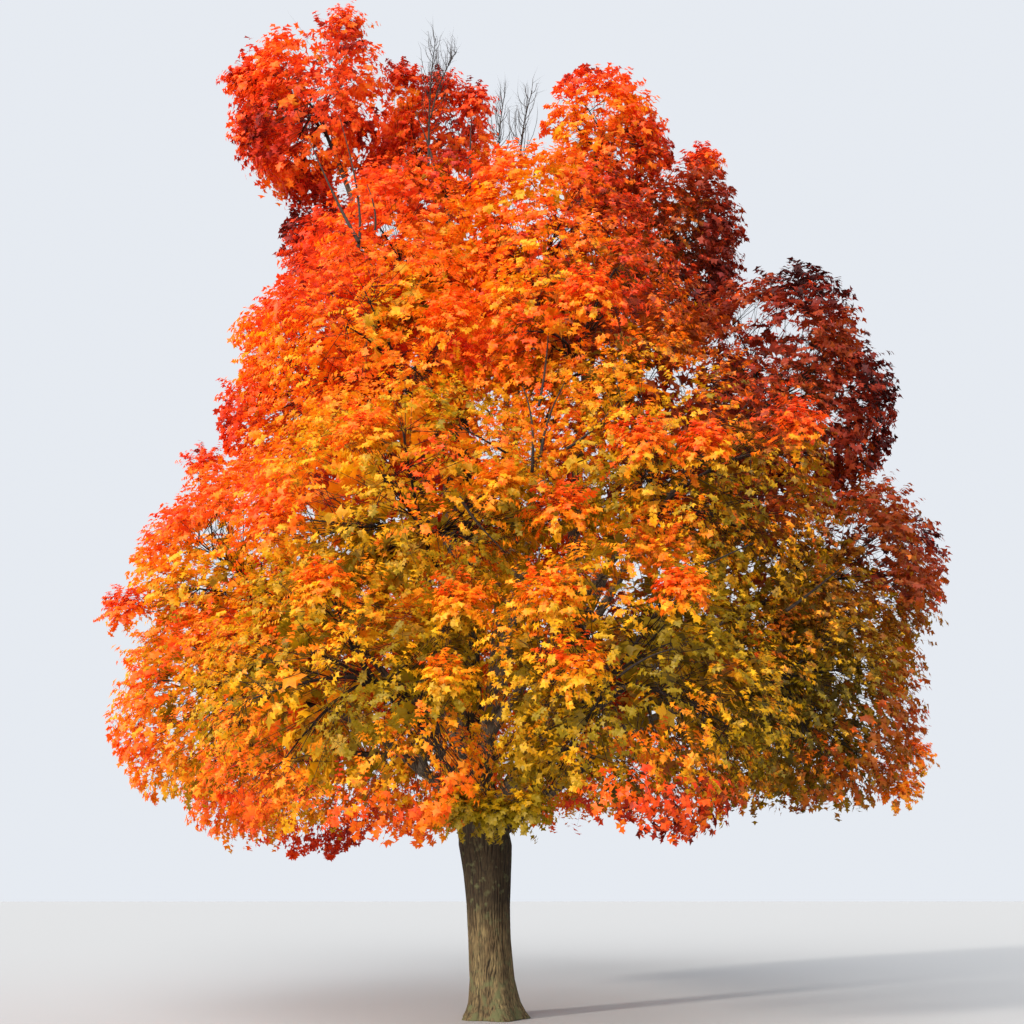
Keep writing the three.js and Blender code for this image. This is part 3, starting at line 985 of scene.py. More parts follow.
def in_open_air(mass, points, outwards):
    """True where the place ahead of a point lies in no other mass."""
    ahead = points + outwards * AIR_AHEAD
    depths = [egg_depth(other, ahead) for other in masses if other is not mass]
    return np.min(depths, axis=0) > IN_ANOTHER


def draw_for_sprays(count, play):
    """Random numbers from 0 to 1, four for each spray."""
    return np.array([[play() for _ in range(DRAWS)] for _ in range(count)])


def spray_table(mass, middles, outwards, warmer, draws, size=1.0, limit=EGG_LIMIT):
    """The sprays at these places. warmer is how much redder each is than its place on the tree tells."""
    faces = unit(outwards + mass.out * FACE_OUT)
    hanging = flattened(np.broadcast_to(mass.out * HANG_OUT - UP, faces.shape), faces)
    ahead = turned(hanging, faces, SPRAY_TURN * between((-1, 1), draws[:, 2]))
    ahead = unit(ahead + outwards * SPRAY_RISE)
    return {
        "middle": middles,
        "ahead": ahead,
        "face": flattened(faces, ahead),
        "length": SPRAY_LENGTH * size * (1 + SPRAY_PLAY * between((-1, 1), draws[:, 3])),
        "warmer": warmer,
        "limit": np.full(len(middles), limit),
        "sunny": in_open_air(mass, middles, outwards),
        "seen": in_sight(middles) | behind_pocket(middles) | (limit > EGG_LIMIT),
        "rim": against_the_sky(middles),
    }


print("a spray is about", SPRAY_LENGTH, "m long")

# %% [markdown]
# Some bulges stand out as round lobes, bright on top and golden below. Each has a place, a radius and how
# much redder it is than its neighbours. It belongs to the mass that it sits on, may reach a little past
# the mass's edge, and turns redder from its underside to its top.

# %% Lobes that stand out
LOBES = [
    ((0.7, -5.0, 5.5), 0.55, 0.16), ((1.6, -5.2, 6.25), 0.5, 0.14), ((2.3, -5.2, 6.2), 0.42, 0.12),
    ((0.55, -5.4, 4.4), 0.46, 0.16), ((1.9, -5.4, 4.5), 0.38, 0.2), ((0.8, -5.45, 3.7), 0.42, 0.18),
    ((-0.4, -5.2, 4.4), 0.42, 0.1), ((-0.5, -5.2, 3.6), 0.4, 0.06), ((0.05, -5.3, 5.7), 0.33, 0.0),
    ((-1.4, -5.3, 6.25), 0.45, 0.06), ((-2.4, -4.8, 5.4), 0.5, 0.1), ((-1.8, -5.2, 4.6), 0.42, 0.1),
    ((3.5, -4.7, 6.7), 0.45, 0.1), ((1.2, -4.3, 8.7), 0.5, 0.05), ((-0.6, -3.9, 8.5), 0.5, 0.0),
    ((-0.4, -4.3, 2.45), 0.35, -0.3), ((0.0, -4.2, 2.4), 0.32, -0.34), ((0.35, -4.2, 2.45), 0.32, -0.3),
    ((0.3, -2.6, 3.1), 0.45, -0.1), ((5.4, -1.4, 2.95), 0.45, 0.02), ((5.75, -1.1, 3.4), 0.4, 0.02),
    ((3.65, -0.6, 13.8), 0.42, -0.02), ((-4.3, -1.5, 7.5), 0.42, 0.05), ((-5.0, -2.0, 5.2), 0.4, 0.08),
    ((-1.8, -0.3, 15.8), 0.5, 0.05), ((-1.1, -0.2, 15.7), 0.5, 0.12), ((-0.5, -0.2, 15.4), 0.5, 0.16),
    ((-2.8, -1.2, 16.2), 0.5, -0.12), ((-4.6, -0.9, 15.2), 0.45, -0.12), ((-4.4, -0.7, 14.2), 0.45, -0.1),
]
LOBE_SPRAYS = 12
LOBE_LOOK = unit(np.array([-0.1, -0.8, 0.6]))
LOBE_SPREAD = 0.6
LOBE_TUFT = 1.5
LOBE_LIMIT = 1.5
LOBE_WARMTH = 0.19
TUFT_TOP = unit(np.array([-0.25, -0.1, 1.0]))


def lobe_mass(lobe):
    return min(masses, key=lambda mass: egg_depth(mass, np.array(lobe[0])))


def lobe_sprays(mass, centre, radius, warmer, play):
    """Sprays all over the half of a ball that looks out and up."""
    ways = spread_directions(LOBE_SPRAYS, ALL_ROUND)
    turned_away = np.minimum(ways @ LOBE_LOOK, 0)[:, None]
    ways = ways - 2 * turned_away * LOBE_LOOK
    draws = draw_for_sprays(len(ways), play)
    warmth = warmer + LOBE_WARMTH * (ways @ TUFT_TOP)
    return spray_table(mass, centre + ways * radius * LOBE_SPREAD, ways, warmth, draws,
                       radius * LOBE_TUFT, LOBE_LIMIT)


print("lobes:", len(LOBES), "with", LOBE_SPRAYS, "sprays each")

# %% [markdown]
# Now the sprays of each mass. The first stand where the solid model's twigs end. Some close the side that
# faces the trunk, some stand deeper in the mass, where they keep the sky from showing through, and more are
# added at the rim of the crown, which would look thin against the sky. The sprays on a bulge move outwards
# and turn redder, and those in a valley sink in and stay golden.

# %% Where the sprays stand
SPRAYS_PER_SQUARE_METRE = 2.5
TRUNK_SIDE_SHARE, INSIDE_SHARE = 0.1, 0.36
INSIDE_DEPTH = 0.62
RIM_SPRAYS, RIM_DEPTH = 2, 0.85
MASS_SEED = 1000
CORE_CORNERS = 42    # the solid model draws this many numbers for its cores before its twigs
SPRAY_DEPTH = (0.8, 0.92)
SWELL_DEPTH = 0.12
SWELL_WARMTH, TOPSIDE_WARMTH = 0.1, 0.14
TOPSIDE_STEP = 0.4


def egg_area(mass):
    a, b, c = mass.half
    return 4 * math.pi * (a * b + b * c + c * a) / 3


def rim_directions(mass, count):
    """The sequence's next directions after count, as far as they point at the crown's rim."""
    more = spread_directions(RIM_SPRAYS * count)[count:]
    return more[against_the_sky(point_in(mass, more, np.full(len(more), RIM_DEPTH)))]


def plan_sprays(mass, index):
    count = round(egg_area(mass) * SPRAYS_PER_SQUARE_METRE)
    inside = round(count * INSIDE_SHARE)
    directions = np.concatenate([
        spread_directions(count),
        spread_directions(round(count * TRUNK_SIDE_SHARE), TRUNK_SIDE),
        rim_directions(mass, count),
        spread_directions(inside, ALL_ROUND),
    ])
    play = seeded(MASS_SEED + index)
    for _ in range(CORE_CORNERS):
        play()
    draws = draw_for_sprays(len(directions), play)
    depths = between(SPRAY_DEPTH, draws[:, 1])
    depths[-inside:] *= INSIDE_DEPTH
    swell = swell_at(point_in(mass, directions, depths))
    middles = point_in(mass, directions, depths + SWELL_DEPTH * swell)
    topside = swell - swell_at(middles + TUFT_TOP * TOPSIDE_STEP)
    warmer = swell * SWELL_WARMTH + topside * TOPSIDE_WARMTH
    sprays = spray_table(mass, middles, unit(middles - mass.middle), warmer, draws)
    sprays["sunny"][count:] = False
    lobes = [lobe_sprays(mass, *lobe, play) for lobe in LOBES if lobe_mass(lobe) is mass]
    return join_tables([sprays] + lobes)


sprays_of = {mass.name: plan_sprays(mass, index) for index, mass in enumerate(masses)}
print("sprays:", sum(len(sprays["middle"]) for sprays in sprays_of.values()))
for label in ("sunny", "seen", "rim"):
    print("sprays", label + ":", sum(int(sprays[label].sum()) for sprays in sprays_of.values()))

# %% [markdown]
# Seen close, a spray is a tuft: a bushy dome of leaves about 70 cm across that looks outwards and up. It
# could be a ball stuck with leaves, but then it would have no twigs to show in its gaps. So it gets a frame
# of its own, a base, a pole and two ways across, from which its twigs can spread.

# %% Frames of the tufts
TUFT_RADIUS = 0.24
TUFT_SINK = 0.6
POLE_UP = 0.55


def tuft_frames(sprays):
    """Adds each tuft's radius, the way that its dome looks, two ways across it, and its base."""
    pole = unit(sprays["face"] + UP * POLE_UP)
    side = unit(np.cross(sprays["ahead"], pole))
    radius = sprays["length"] * TUFT_RADIUS
    base = sprays["middle"] - pole * (radius * TUFT_SINK)[:, None]
    return dict(sprays, pole=pole, side=side, along=np.cross(pole, side), radius=radius, base=base)


print("a tuft is about", round(2 * SPRAY_LENGTH * TUFT_RADIUS, 2), "m across")

# %% [markdown]
# The branches of a mass spread from its stem like the fingers of a hand, and each tuft's branchlet leaves
# the branch that passes closest. Each sets off in its parent's direction and bends over to its end, so that
# it grows rather than points.

# %% Branches and branchlets
STEM_LENGTH = 0.9
STEM_PART = (0.35, 0.85)
BRANCHES = 7
BRANCH_DEPTH = 0.62
BRANCH_RINGS, BRANCH_SIDES = 9, 6
BRANCHLET_RINGS, BRANCHLET_SIDES = 2, 3
BRANCH_RADII = (0.028, 0.01)
BRANCHLET_RADII = (0.006, 0.0025)
FIRST_FORK = 4
BEND_AT = 0.5


def stem_of(mass):
    """The stem that grows on from a mass's bough, or from the trunk's top."""
    bough = next((one for one in boughs if one.mass is mass), None)
    curve = bough.curve if bough else trunk_curve
    ahead = heading(curve, 1.0)[0] if bough else UP
    start = curve(1.0)[0]
    radius = BOUGH_TIP if bough else TRUNK_RADII[-1][1]
    return SimpleNamespace(start=start, end=start + ahead * STEM_LENGTH, ahead=ahead, radius=radius)


def bent_lines(starts, ways, ends, rings):
    """Curves that leave each start in its way and arrive at each end, as lines x rings x 3."""
    reach = np.linalg.norm(ends - starts, axis=1, keepdims=True)
    bends = (starts + ways * reach * BEND_AT)[:, None]
    share = np.linspace(0, 1, rings)[None, :, None]
    return starts[:, None] * (1 - share) ** 2 + 2 * bends * share * (1 - share) + ends[:, None] * share**2


def grow_branches(mass, stem, tufts, random):
    ends = point_in(mass, spread_directions(BRANCHES), np.full(BRANCHES, BRANCH_DEPTH))
    roots = between((stem.start, stem.end), random.uniform(*STEM_PART, (BRANCHES, 1)))
    branches = bent_lines(roots, np.broadcast_to(stem.ahead, ends.shape), ends, BRANCH_RINGS)
    gaps = np.linalg.norm(tufts["base"][:, None] - ends[None], axis=2)
    nearest = gaps.argmin(axis=1)
    ring = random.integers(FIRST_FORK, BRANCH_RINGS, len(nearest))
    starts = branches[nearest, ring]
    ways = unit(starts - branches[nearest, ring - 1])
    return branches, bent_lines(starts, ways, tufts["base"], BRANCHLET_RINGS)


def tapered(count, radii, rings):
    return np.broadcast_to(np.linspace(*radii, rings), (count, rings))


print("the first stem starts", round(stem_of(masses[0]).start[2], 2), "m above the ground")

# %% [markdown]
# There are four kinds of tuft. Those in the viewer's sight have many twigs with fine leaves, and those at the
# crown's rim slightly larger leaves, which close it against the sky. The rest of the outer ones have fewer
# and larger leaves, and those inside a few twigs with the largest of all, as shade leaves are on a real
# tree. This spends the triangles where they are seen.

# %% Four kinds of tuft
FINE = SimpleNamespace(
    twigs=7, spread=math.radians(112), leaf_size=0.82, inner_gold_and_painted_shade=0.0,
    places=(0.34, 0.34, 0.54, 0.54, 0.71, 0.71, 0.86, 0.86, 0.96, 0.96, 1.0),
)
RIM = SimpleNamespace(
    twigs=7, spread=math.radians(118), leaf_size=1.16, inner_gold_and_painted_shade=0.0,
    places=(0.3, 0.3, 0.55, 0.55, 0.8, 0.8, 0.95, 1.0),
)
COARSE = SimpleNamespace(
    twigs=4, spread=math.radians(112), leaf_size=1.7, inner_gold_and_painted_shade=0.0,
    places=(0.45, 0.7, 0.7, 0.95, 1.0),
)
# the inside tufts are painted darker, as painted shade, and are also a little less red
SHADED = SimpleNamespace(
    twigs=3, spread=math.radians(125), leaf_size=2.2, inner_gold_and_painted_shade=0.05,
    places=(0.4, 0.6, 0.6, 0.8, 0.8, 1.0),
)
print("leaves on a tuft:", [kind.twigs * len(kind.places) for kind in (FINE, RIM, COARSE, SHADED)])

# %% [markdown]
# Twigs are the commonest piece of wood on a tree, so each is only a spike with three sides, four triangles in
# all. A tuft's twigs spread from its base at the golden angle, which never lets two of them line up.

# %% Twigs of a tuft
GOLDEN_ANGLE = math.radians(137.5)
TUFT_DEPTH = 0.9
TUFT_STRETCH = 1.2
TWIG_PLAY = 0.16
TWIG_RADIUS = 0.0022
TWIG_LENGTHS = (0.8, 1.15)
SHORTEST_SHARE = 0.1
UP_THE_AXIS = 0.3
HARDLY_DEEPER = 0.001


def grow_twigs(mass, tufts, kind, random):
    """The twigs' roots, ways and lengths. A twig stops where the mass's space ends."""
    shape = (len(tufts["radius"]), kind.twigs)
    j = np.arange(kind.twigs)
    polar = np.arccos(1 - (j + 0.5) / kind.twigs * (1 - math.cos(kind.spread)))
    azimuth = j * GOLDEN_ANGLE + random.uniform(0, math.tau, (shape[0], 1))
    pole, side, along = (tufts[label][:, None] for label in ("pole", "side", "along"))
    ways = (
        pole * (TUFT_DEPTH * np.cos(polar))[None, :, None]
        + side * (np.cos(azimuth) * np.sin(polar))[..., None]
        + along * (np.sin(azimuth) * np.sin(polar) * TUFT_STRETCH)[..., None]
        + random.normal(0, TWIG_PLAY, shape + (3,))
    )
    lengths = tufts["radius"][:, None] * np.linalg.norm(ways, axis=2) * random.uniform(*TWIG_LENGTHS, shape)
    up_the_axis = tufts["radius"][:, None] * np.maximum(np.cos(polar), 0) * UP_THE_AXIS
    roots = tufts["base"][:, None] + pole * up_the_axis[..., None]
    roots, ways, lengths = roots.reshape(-1, 3), unit(ways).reshape(-1, 3), lengths.ravel()
    root_depth = egg_depth(mass, roots)
    tip_depth = egg_depth(mass, roots + ways * lengths[:, None])
    limit = np.repeat(tufts["limit"], kind.twigs)
    inside = (limit - root_depth) / np.maximum(tip_depth - root_depth, HARDLY_DEEPER)
    return roots, ways, lengths * np.where(tip_depth > limit, np.clip(inside, SHORTEST_SHARE, 1), 1)


def spikes_mesh(roots, ways, lengths, radius):
    """Three-sided spikes."""
    across = unit(np.cross(ways, ASKEW))
    third = np.cross(across, ways)
    angles = np.arange(3) * math.tau / 3
    around = across[:, None] * np.cos(angles)[:, None] - third[:, None] * np.sin(angles)[:, None]
    tips = roots + ways * lengths[:, None]
    points = np.concatenate([roots[:, None] + around * radius, tips[:, None]], axis=1)
    faces = np.array([(0, 1, 3), (1, 2, 3), (2, 0, 3), (0, 2, 1)])
    starts = np.arange(len(roots)) * 4
    return points.reshape(-1, 3), (faces[None] + starts[:, None, None]).reshape(-1, 3)


print("twigs turn by", round(math.degrees(GOLDEN_ANGLE), 1), "degrees from one to the next")

# %% [markdown]
# A maple leaf is a hand with three long fingers. Six corners draw it: the stalk's end, the three tips, and
# the two bays between them. Four triangles fan out from the stalk, and the side fingers sag a little below
# the midrib, so that each leaf catches the light in more than one tone.

# %% One leaf
HALF_LEAF = [(0.62, 0.4), (0.25, 0.48)]
LEAF_SAG = 0.22
LEAF_CURL = 0.14


def leaf_shape():
    """The leaf's corners as (sideways, ahead, above), and its triangles."""
    outline = [(0, 0), *HALF_LEAF, (0, 1), *[(-side, ahead) for side, ahead in reversed(HALF_LEAF)]]
    side, ahead = np.array(outline).T
    above = -LEAF_SAG * np.abs(side) - LEAF_CURL * ahead**2
    corners = np.arange(1, len(outline) - 1)
    triangles = np.stack([np.zeros_like(corners), corners, corners + 1], axis=1)
    return np.stack([side, ahead, above], axis=1), triangles


LEAF_POINTS, LEAF_TRIANGLES = leaf_shape()


def leaves_mesh(places, aheads, faces, lengths):
    sides = np.cross(aheads, faces)
    axes = np.stack([sides, aheads, faces], axis=1) * lengths[:, None, None]
    points = places[:, None] + LEAF_POINTS @ axes
    starts = np.arange(len(places)) * len(LEAF_POINTS)
    triangles = LEAF_TRIANGLES[None] + starts[:, None, None]
    return points.reshape(-1, 3), triangles.reshape(-1, 3)


print("a leaf has", len(LEAF_POINTS), "corners and", len(LEAF_TRIANGLES), "triangles")

# %% [markdown]
# Autumn colour runs from olive green through gold and orange to scarlet and a dark maroon, and each of these
# tints also comes in a darker copy, which is painted shade. The leaves take one of these plain colours each,
# so a leaf needs no texture. Light passes through a leaf as well as off it: each material mixes a glossy
# side with a translucent one, which glows when the sun stands behind it.

# %% Leaf materials
TINTS = [
    ("olive", (146, 120, 12)),
    ("moss_gold", (188, 146, 14)),
    ("yellow", (228, 170, 20)),
    ("gold", (238, 148, 18)),
    ("amber", (240, 122, 16)),
    ("orange", (242, 104, 22)),
    ("flame", (238, 88, 26)),
    ("scarlet", (228, 70, 28)),
    ("red", (192, 50, 24)),
    ("crimson", (140, 34, 22)),
    ("maroon", (92, 24, 18)),
]
# painted shade: each tint's darker copy is its colour times this share
PAINTED_SHADE_FACTOR = 0.66
LEAF_ROUGHNESS, LEAF_SHINE = 0.5, 0.3
LEAF_THROUGH = 0.5


def leaf_material(name, colour):
    material = bpy.data.materials.new(f"leaf_{name}")
    material.use_nodes = True
    tree = material.node_tree
    surface = tree.nodes["Principled BSDF"]
    surface.inputs["Base Color"].default_value = colour
    surface.inputs["Roughness"].default_value = LEAF_ROUGHNESS
    surface.inputs["Specular IOR Level"].default_value = LEAF_SHINE
    through = tree.nodes.new("ShaderNodeBsdfTranslucent")
    through.inputs["Color"].default_value = colour
    mix = tree.nodes.new("ShaderNodeMixShader")
    mix.inputs["Fac"].default_value = LEAF_THROUGH
    tree.links.new(surface.outputs["BSDF"], mix.inputs[1])
    tree.links.new(through.outputs["BSDF"], mix.inputs[2])
    tree.links.new(mix.outputs["Shader"], tree.nodes["Material Output"].inputs["Surface"])
    return material


def painted_shade_copy(colour):
    return [value * PAINTED_SHADE_FACTOR for value in colour]


leaf_materials = [leaf_material(name, rgb(*colour)) for name, colour in TINTS]
# painted-shade copies of all the tints
leaf_materials += [leaf_material(f"{name}_deep", rgb(*painted_shade_copy(colour))) for name, colour in TINTS]
print("leaf materials:", len(leaf_materials))

# %% [markdown]
# Which leaf turns first follows the light. The top and the bulges are red, the valleys and the middle of the
# skirt stay gold and olive, and the side away from the sun goes to dark red. So each tuft gets a warmth from
# its place on the tree. It is a sum of gentle grades: by height, from left to right, from front to back, and
# two that count only in a part of the crown, its right side and the skirt right of the trunk.

# %% Warmth by place
WARMTH_HEIGHTS = [
    (1.8, 0.44), (2.6, 0.27), (3.4, 0.12), (4.2, 0.15), (7.0, 0.275), (9.5, 0.43), (12.0, 0.5), (17.0, 0.54),
]
WARMTH_SIDES = [
    (-6.0, 0.25), (-4.5, 0.16), (-3.0, 0.1), (-1.2, 0.0), (3.5, -0.02), (5.0, 0.12), (7.0, 0.34),
]
WARMTH_BACK = [(0.0, 0.0), (3.5, 0.24)]
RIGHT_PART = [(1.0, 0.0), (3.0, 1.0)]
WARMTH_RIGHT = [(5.5, 0.0), (8.0, 0.24), (11.0, 0.24), (14.0, 0.06)]
SKIRT_PART = [(0.5, 0.0), (1.0, 1.0), (2.8, 1.0), (4.0, 0.0)]
WARMTH_SKIRT = [(2.4, 0.3), (3.1, 0.0)]


def graded(values, pairs):
    return np.interp(values, *np.array(pairs).T)


def warmth_at(points):
    x, y, z = points.T
    warmth = graded(z, WARMTH_HEIGHTS) + graded(x, WARMTH_SIDES) + graded(y, WARMTH_BACK)
    warmth += graded(x, RIGHT_PART) * graded(z, WARMTH_RIGHT)
    return warmth + graded(x, SKIRT_PART) * graded(z, WARMTH_SKIRT)


skirt_and_top = np.array([(0.0, -4.0, 3.0), (-3.0, 0.0, 16.0)])
print("warmth in the skirt and at the top:", warmth_at(skirt_and_top).round(2))

# %% [markdown]
# The darker copies are painted shade, for the shaded right of the crown and for the leaves inside it. The
# line where the painted shade begins isn't upright: it leans with the height, as the shade of the heads falls
# across the crown. Lobes catch the light, so they are painted lighter, with fewer darker copies. A leaf's
# material is then its tint, rounded from its warmth, in its light copy or its painted-shade copy.

# %% Painted shade and light of the leaves
# painted shade by place: the darker copies grow from left to right, along a line that leans with the height
PAINTED_SHADE_ACROSS = [(-1.5, -0.5), (1.5, 0.0), (3.5, 0.46), (5.0, 0.7), (7.0, 0.8)]
SHADE_BY_HEIGHT = [
    (2.0, 1.8), (3.2, 0.3), (5.0, 0.1), (8.0, 1.3), (10.5, 1.9), (13.0, 1.4), (15.0, -0.2),
]
# painted light: the lobes take fewer darker copies
LOBE_LIGHT = 0.4
INNER_PAINTED_SHADE = 4
PAINTED_SHADE_FROM = 0.5


# painted shade and painted light: how far a tuft's leaves go into the darker copies
def painted_shade_of(tufts, kind):
    shade_side = tufts["middle"][:, 0] + graded(tufts["middle"][:, 2], SHADE_BY_HEIGHT)
    lobe = tufts["limit"] > EGG_LIMIT
    return graded(shade_side, PAINTED_SHADE_ACROSS) + kind.inner_gold_and_painted_shade * INNER_PAINTED_SHADE - LOBE_LIGHT * lobe


def tint_index(warmth, tone):
    """The number of a leaf's material. tone over a half picks the painted-shade copy."""
    tint = np.clip(np.round(warmth * (len(TINTS) - 1)), 0, len(TINTS) - 1)
    return (tint + len(TINTS) * (tone > PAINTED_SHADE_FROM)).astype(int)


print("an orange leaf's material:", leaf_materials[int(tint_index(0.5, 0.0))].name)

# %% [markdown]
# Leaves stand in pairs along the twig, as on every maple, with one at its end. They turn their faces out of
# the tuft and up to the light, and their tips hang. Arrays place all the leaves of a mass at once: their
# first axis runs over the twigs and their second over the leaves of a twig.

# %% Leaves on twigs
LEAF_LENGTHS = (0.07, 0.073, 0.083, 0.092, 0.094)
PLACE_PLAY = (-0.06, 0.05)
ALONG_POLE = 0.1
LEAF_FORWARD = 0.5
LEAF_DROOP = 0.45
LEAF_PLAY = 0.21
LEAF_FACE_UP = 0.3
LEAF_SIZE_PLAY = 0.22


def tuft_of_twigs(tufts, kind):
    """The number of the tuft that each twig belongs to."""
    return np.repeat(np.arange(len(tufts["radius"])), kind.twigs)


def place_leaves(mass, tufts, kind, twigs, random):
    """The leaves' places, ways ahead, faces and lengths."""
    roots, ways, lengths = twigs
    tuft = tuft_of_twigs(tufts, kind)
    per_twig = len(kind.places)
    place = np.array(kind.places) + random.uniform(*PLACE_PLAY, (len(roots), per_twig))
    points = roots[:, None] + ways[:, None] * (lengths[:, None] * place)[..., None]
    from_base = points - tufts["base"][tuft][:, None]
    outwards = unit(from_base + tufts["pole"][tuft][:, None] * ALONG_POLE)
    beside = unit(np.cross(ways[:, None], outwards))
    turns = np.where(np.arange(per_twig) % 2, 1.0, -1.0)
    turns[-1] = 0
    ahead = (
        ways[:, None] * LEAF_FORWARD
        + beside * turns[:, None]
        - UP * LEAF_DROOP
        + random.normal(0, LEAF_PLAY, points.shape)
    )
    face = unit(outwards + UP * LEAF_FACE_UP + random.normal(0, LEAF_PLAY, points.shape))
    size = LEAF_LENGTHS[mass.level] * kind.leaf_size
    size = size * random.uniform(1 - LEAF_SIZE_PLAY, 1 + LEAF_SIZE_PLAY, (len(roots), per_twig))
    return points, flattened(ahead, face), face, size


print("a leaf's length in each tier:", LEAF_LENGTHS)

# %% [markdown]
# Each leaf's warmth is that of its place, with a little stray for the spray, the twig and the leaf, because
# neighbours turn at nearly the same time. Over a tuft it rises from the underside to the top. Last, the
# leaves that would stand outside the mass's space or in an opening are dropped.

# %% Tints of the leaves
SPRAY_STRAY, TWIG_STRAY, LEAF_STRAY = 0.05, 0.03, 0.035
TONE_STRAY = 0.14
TUFT_WARMTH = 0.09
TUFT_ENDS = (-1.2, 1.2)


def tint_leaves(tufts, kind, points, random):
    tuft = tuft_of_twigs(tufts, kind)
    warmth = warmth_at(tufts["middle"]) + tufts["warmer"] - kind.inner_gold_and_painted_shade
    warmth = warmth + random.normal(0, SPRAY_STRAY, len(warmth))
    height = (points - tufts["middle"][tuft][:, None]) @ TUFT_TOP / tufts["radius"][tuft][:, None]
    warmth = warmth[tuft][:, None] + TUFT_WARMTH * np.clip(height, *TUFT_ENDS)
    warmth = warmth + random.normal(0, TWIG_STRAY, (len(points), 1))
    warmth = warmth + random.normal(0, LEAF_STRAY, height.shape)
    # painted shade: how far each leaf goes into the darker copies, with a little random stray
    tone = painted_shade_of(tufts, kind)[tuft][:, None] + random.normal(0, TONE_STRAY, height.shape)
    return tint_index(warmth, tone)


def grow_leaves(mass, tufts, kind, twigs, random):
    """The places, ways ahead, faces, lengths and tints of all the leaves on these twigs."""
    points, ahead, face, size = place_leaves(mass, tufts, kind, twigs, random)
    tints = tint_leaves(tufts, kind, points, random)
    points, ahead, face = (values.reshape(-1, 3) for values in (points, ahead, face))
    limits = tufts["limit"][tuft_of_twigs(tufts, kind)]
    keep = egg_depth(mass, points) < np.repeat(limits, len(kind.places))
    keep &= outside_windows(points)
    return points[keep], ahead[keep], face[keep], size.ravel()[keep], tints.ravel()[keep]


print("a tuft turns warmer to its top by", round(TUFT_WARMTH * (TUFT_ENDS[1] - TUFT_ENDS[0]), 2))

# %% [markdown]
# The record of this part names its materials, and a mass has one name for all its leaves. The tree is scarlet
# on top and at the upper left, gold at the lower middle, and russet or amber on the right, so the name
# follows from the mass's place.

# %% Names for the masses' tints
CROWN_TOP, CROWN_MIDDLE = 11, 5.5
SIDE_PART = 2.5


def tint_slot(mass):
    """The record's name for the tint that most of a mass's leaves have."""
    x, _, z = mass.middle
    high = z > CROWN_MIDDLE
    left = x < -SIDE_PART
    if z > CROWN_TOP or (high and left):
        return "leaves_scarlet"
    if x > SIDE_PART:
        return "leaves_russet" if high else "leaves_amber"
    return "leaves_orange" if high or left else "leaves_gold"


print("tints in use:", ", ".join(sorted({tint_slot(mass) for mass in masses})))

# %% [markdown]
# Now the masses grow, one after the other. The leaves of a mass are one piece, and stand for its solid. The
# wood inside it is joined tier by tier, which keeps the list of pieces short.

# %% Grow the crown
STEM_RINGS, STEM_SIDES = 6, 8
STEM_SINK = -0.1


def tuft_kinds(sprays):
    """Each kind of tuft, and which of the sprays it suits."""
    seen, sunny, rim = sprays["seen"], sprays["sunny"], sprays["rim"]
    lobe = sprays["limit"] > EGG_LIMIT
    hidden = ~seen & ~rim
    return (
        (FINE, seen & (~rim | lobe)),
        (RIM, rim & ~lobe),
        (COARSE, hidden & sunny),
        (SHADED, hidden & ~sunny),
    )


def make_foliage(mass, index):
    """Makes a mass's leaves and returns its wood and how many leaves it has."""
    random = np.random.default_rng(MASS_SEED + index)
    sprays = sprays_of[mass.name]
    sprays = tuft_frames(chosen(sprays, outside_windows(sprays["middle"])))
    stem = stem_of(mass)
    branches, branchlets = grow_branches(mass, stem, sprays, random)
    stem_line = between((stem.start, stem.end), np.linspace(STEM_SINK, 1, STEM_RINGS)[:, None])[None]
    woods = [
        tubes_mesh(stem_line, tapered(1, (stem.radius, BRANCH_RADII[0]), STEM_RINGS), STEM_SIDES),
        tubes_mesh(branches, tapered(len(branches), BRANCH_RADII, BRANCH_RINGS), BRANCH_SIDES),
        tubes_mesh(branchlets, tapered(len(branchlets), BRANCHLET_RADII, BRANCHLET_RINGS), BRANCHLET_SIDES),
    ]
    leaves = []
    for kind, which in tuft_kinds(sprays):
        tufts = chosen(sprays, which)
        twigs = grow_twigs(mass, tufts, kind, random)
        woods.append(spikes_mesh(*twigs, TWIG_RADIUS))
        leaves.append(grow_leaves(mass, tufts, kind, twigs, random))
    places, aheads, faces, sizes, tints = (np.concatenate(both) for both in zip(*leaves))
    points, triangles = leaves_mesh(places, aheads, faces, sizes)
    tints = np.repeat(tints, len(LEAF_TRIANGLES))
    piece = new_piece(f"leaves_{mass.name}", points, triangles, leaf_materials, tints, tint_slot(mass))
    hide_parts(f"foliage_{mass.name}")
    return joined(woods), len(places)


def make_crown():
    leaf_count = 0
    wood_count = 0
    for level, tier_name in enumerate(TIER_NAMES):
        woods = []
        for index, mass in enumerate(masses):
            if mass.level == level:
                wood, leaves = make_foliage(mass, index)
                woods.append(wood)
                leaf_count += leaves
        points, triangles = joined(woods)
        piece = new_piece(f"twigs_{tier_name}", points, triangles, [twig_bark])
        set_relief(piece, np.ones(len(points)))
        wood_count += len(triangles)
    print("leaves:", leaf_count, "with", leaf_count * len(LEAF_TRIANGLES), "triangles")
    print("twigs:", wood_count, "triangles")


make_crown()

# %% [markdown]
# A few slender limbs stand clear of the leaves: in the pockets, at the sky holes of the left head, and as
# bare tops in the middle that have dropped their leaves, two at a time. Each is a curve through three
# places and ends in a thin tip. Their radius comes last in each row.

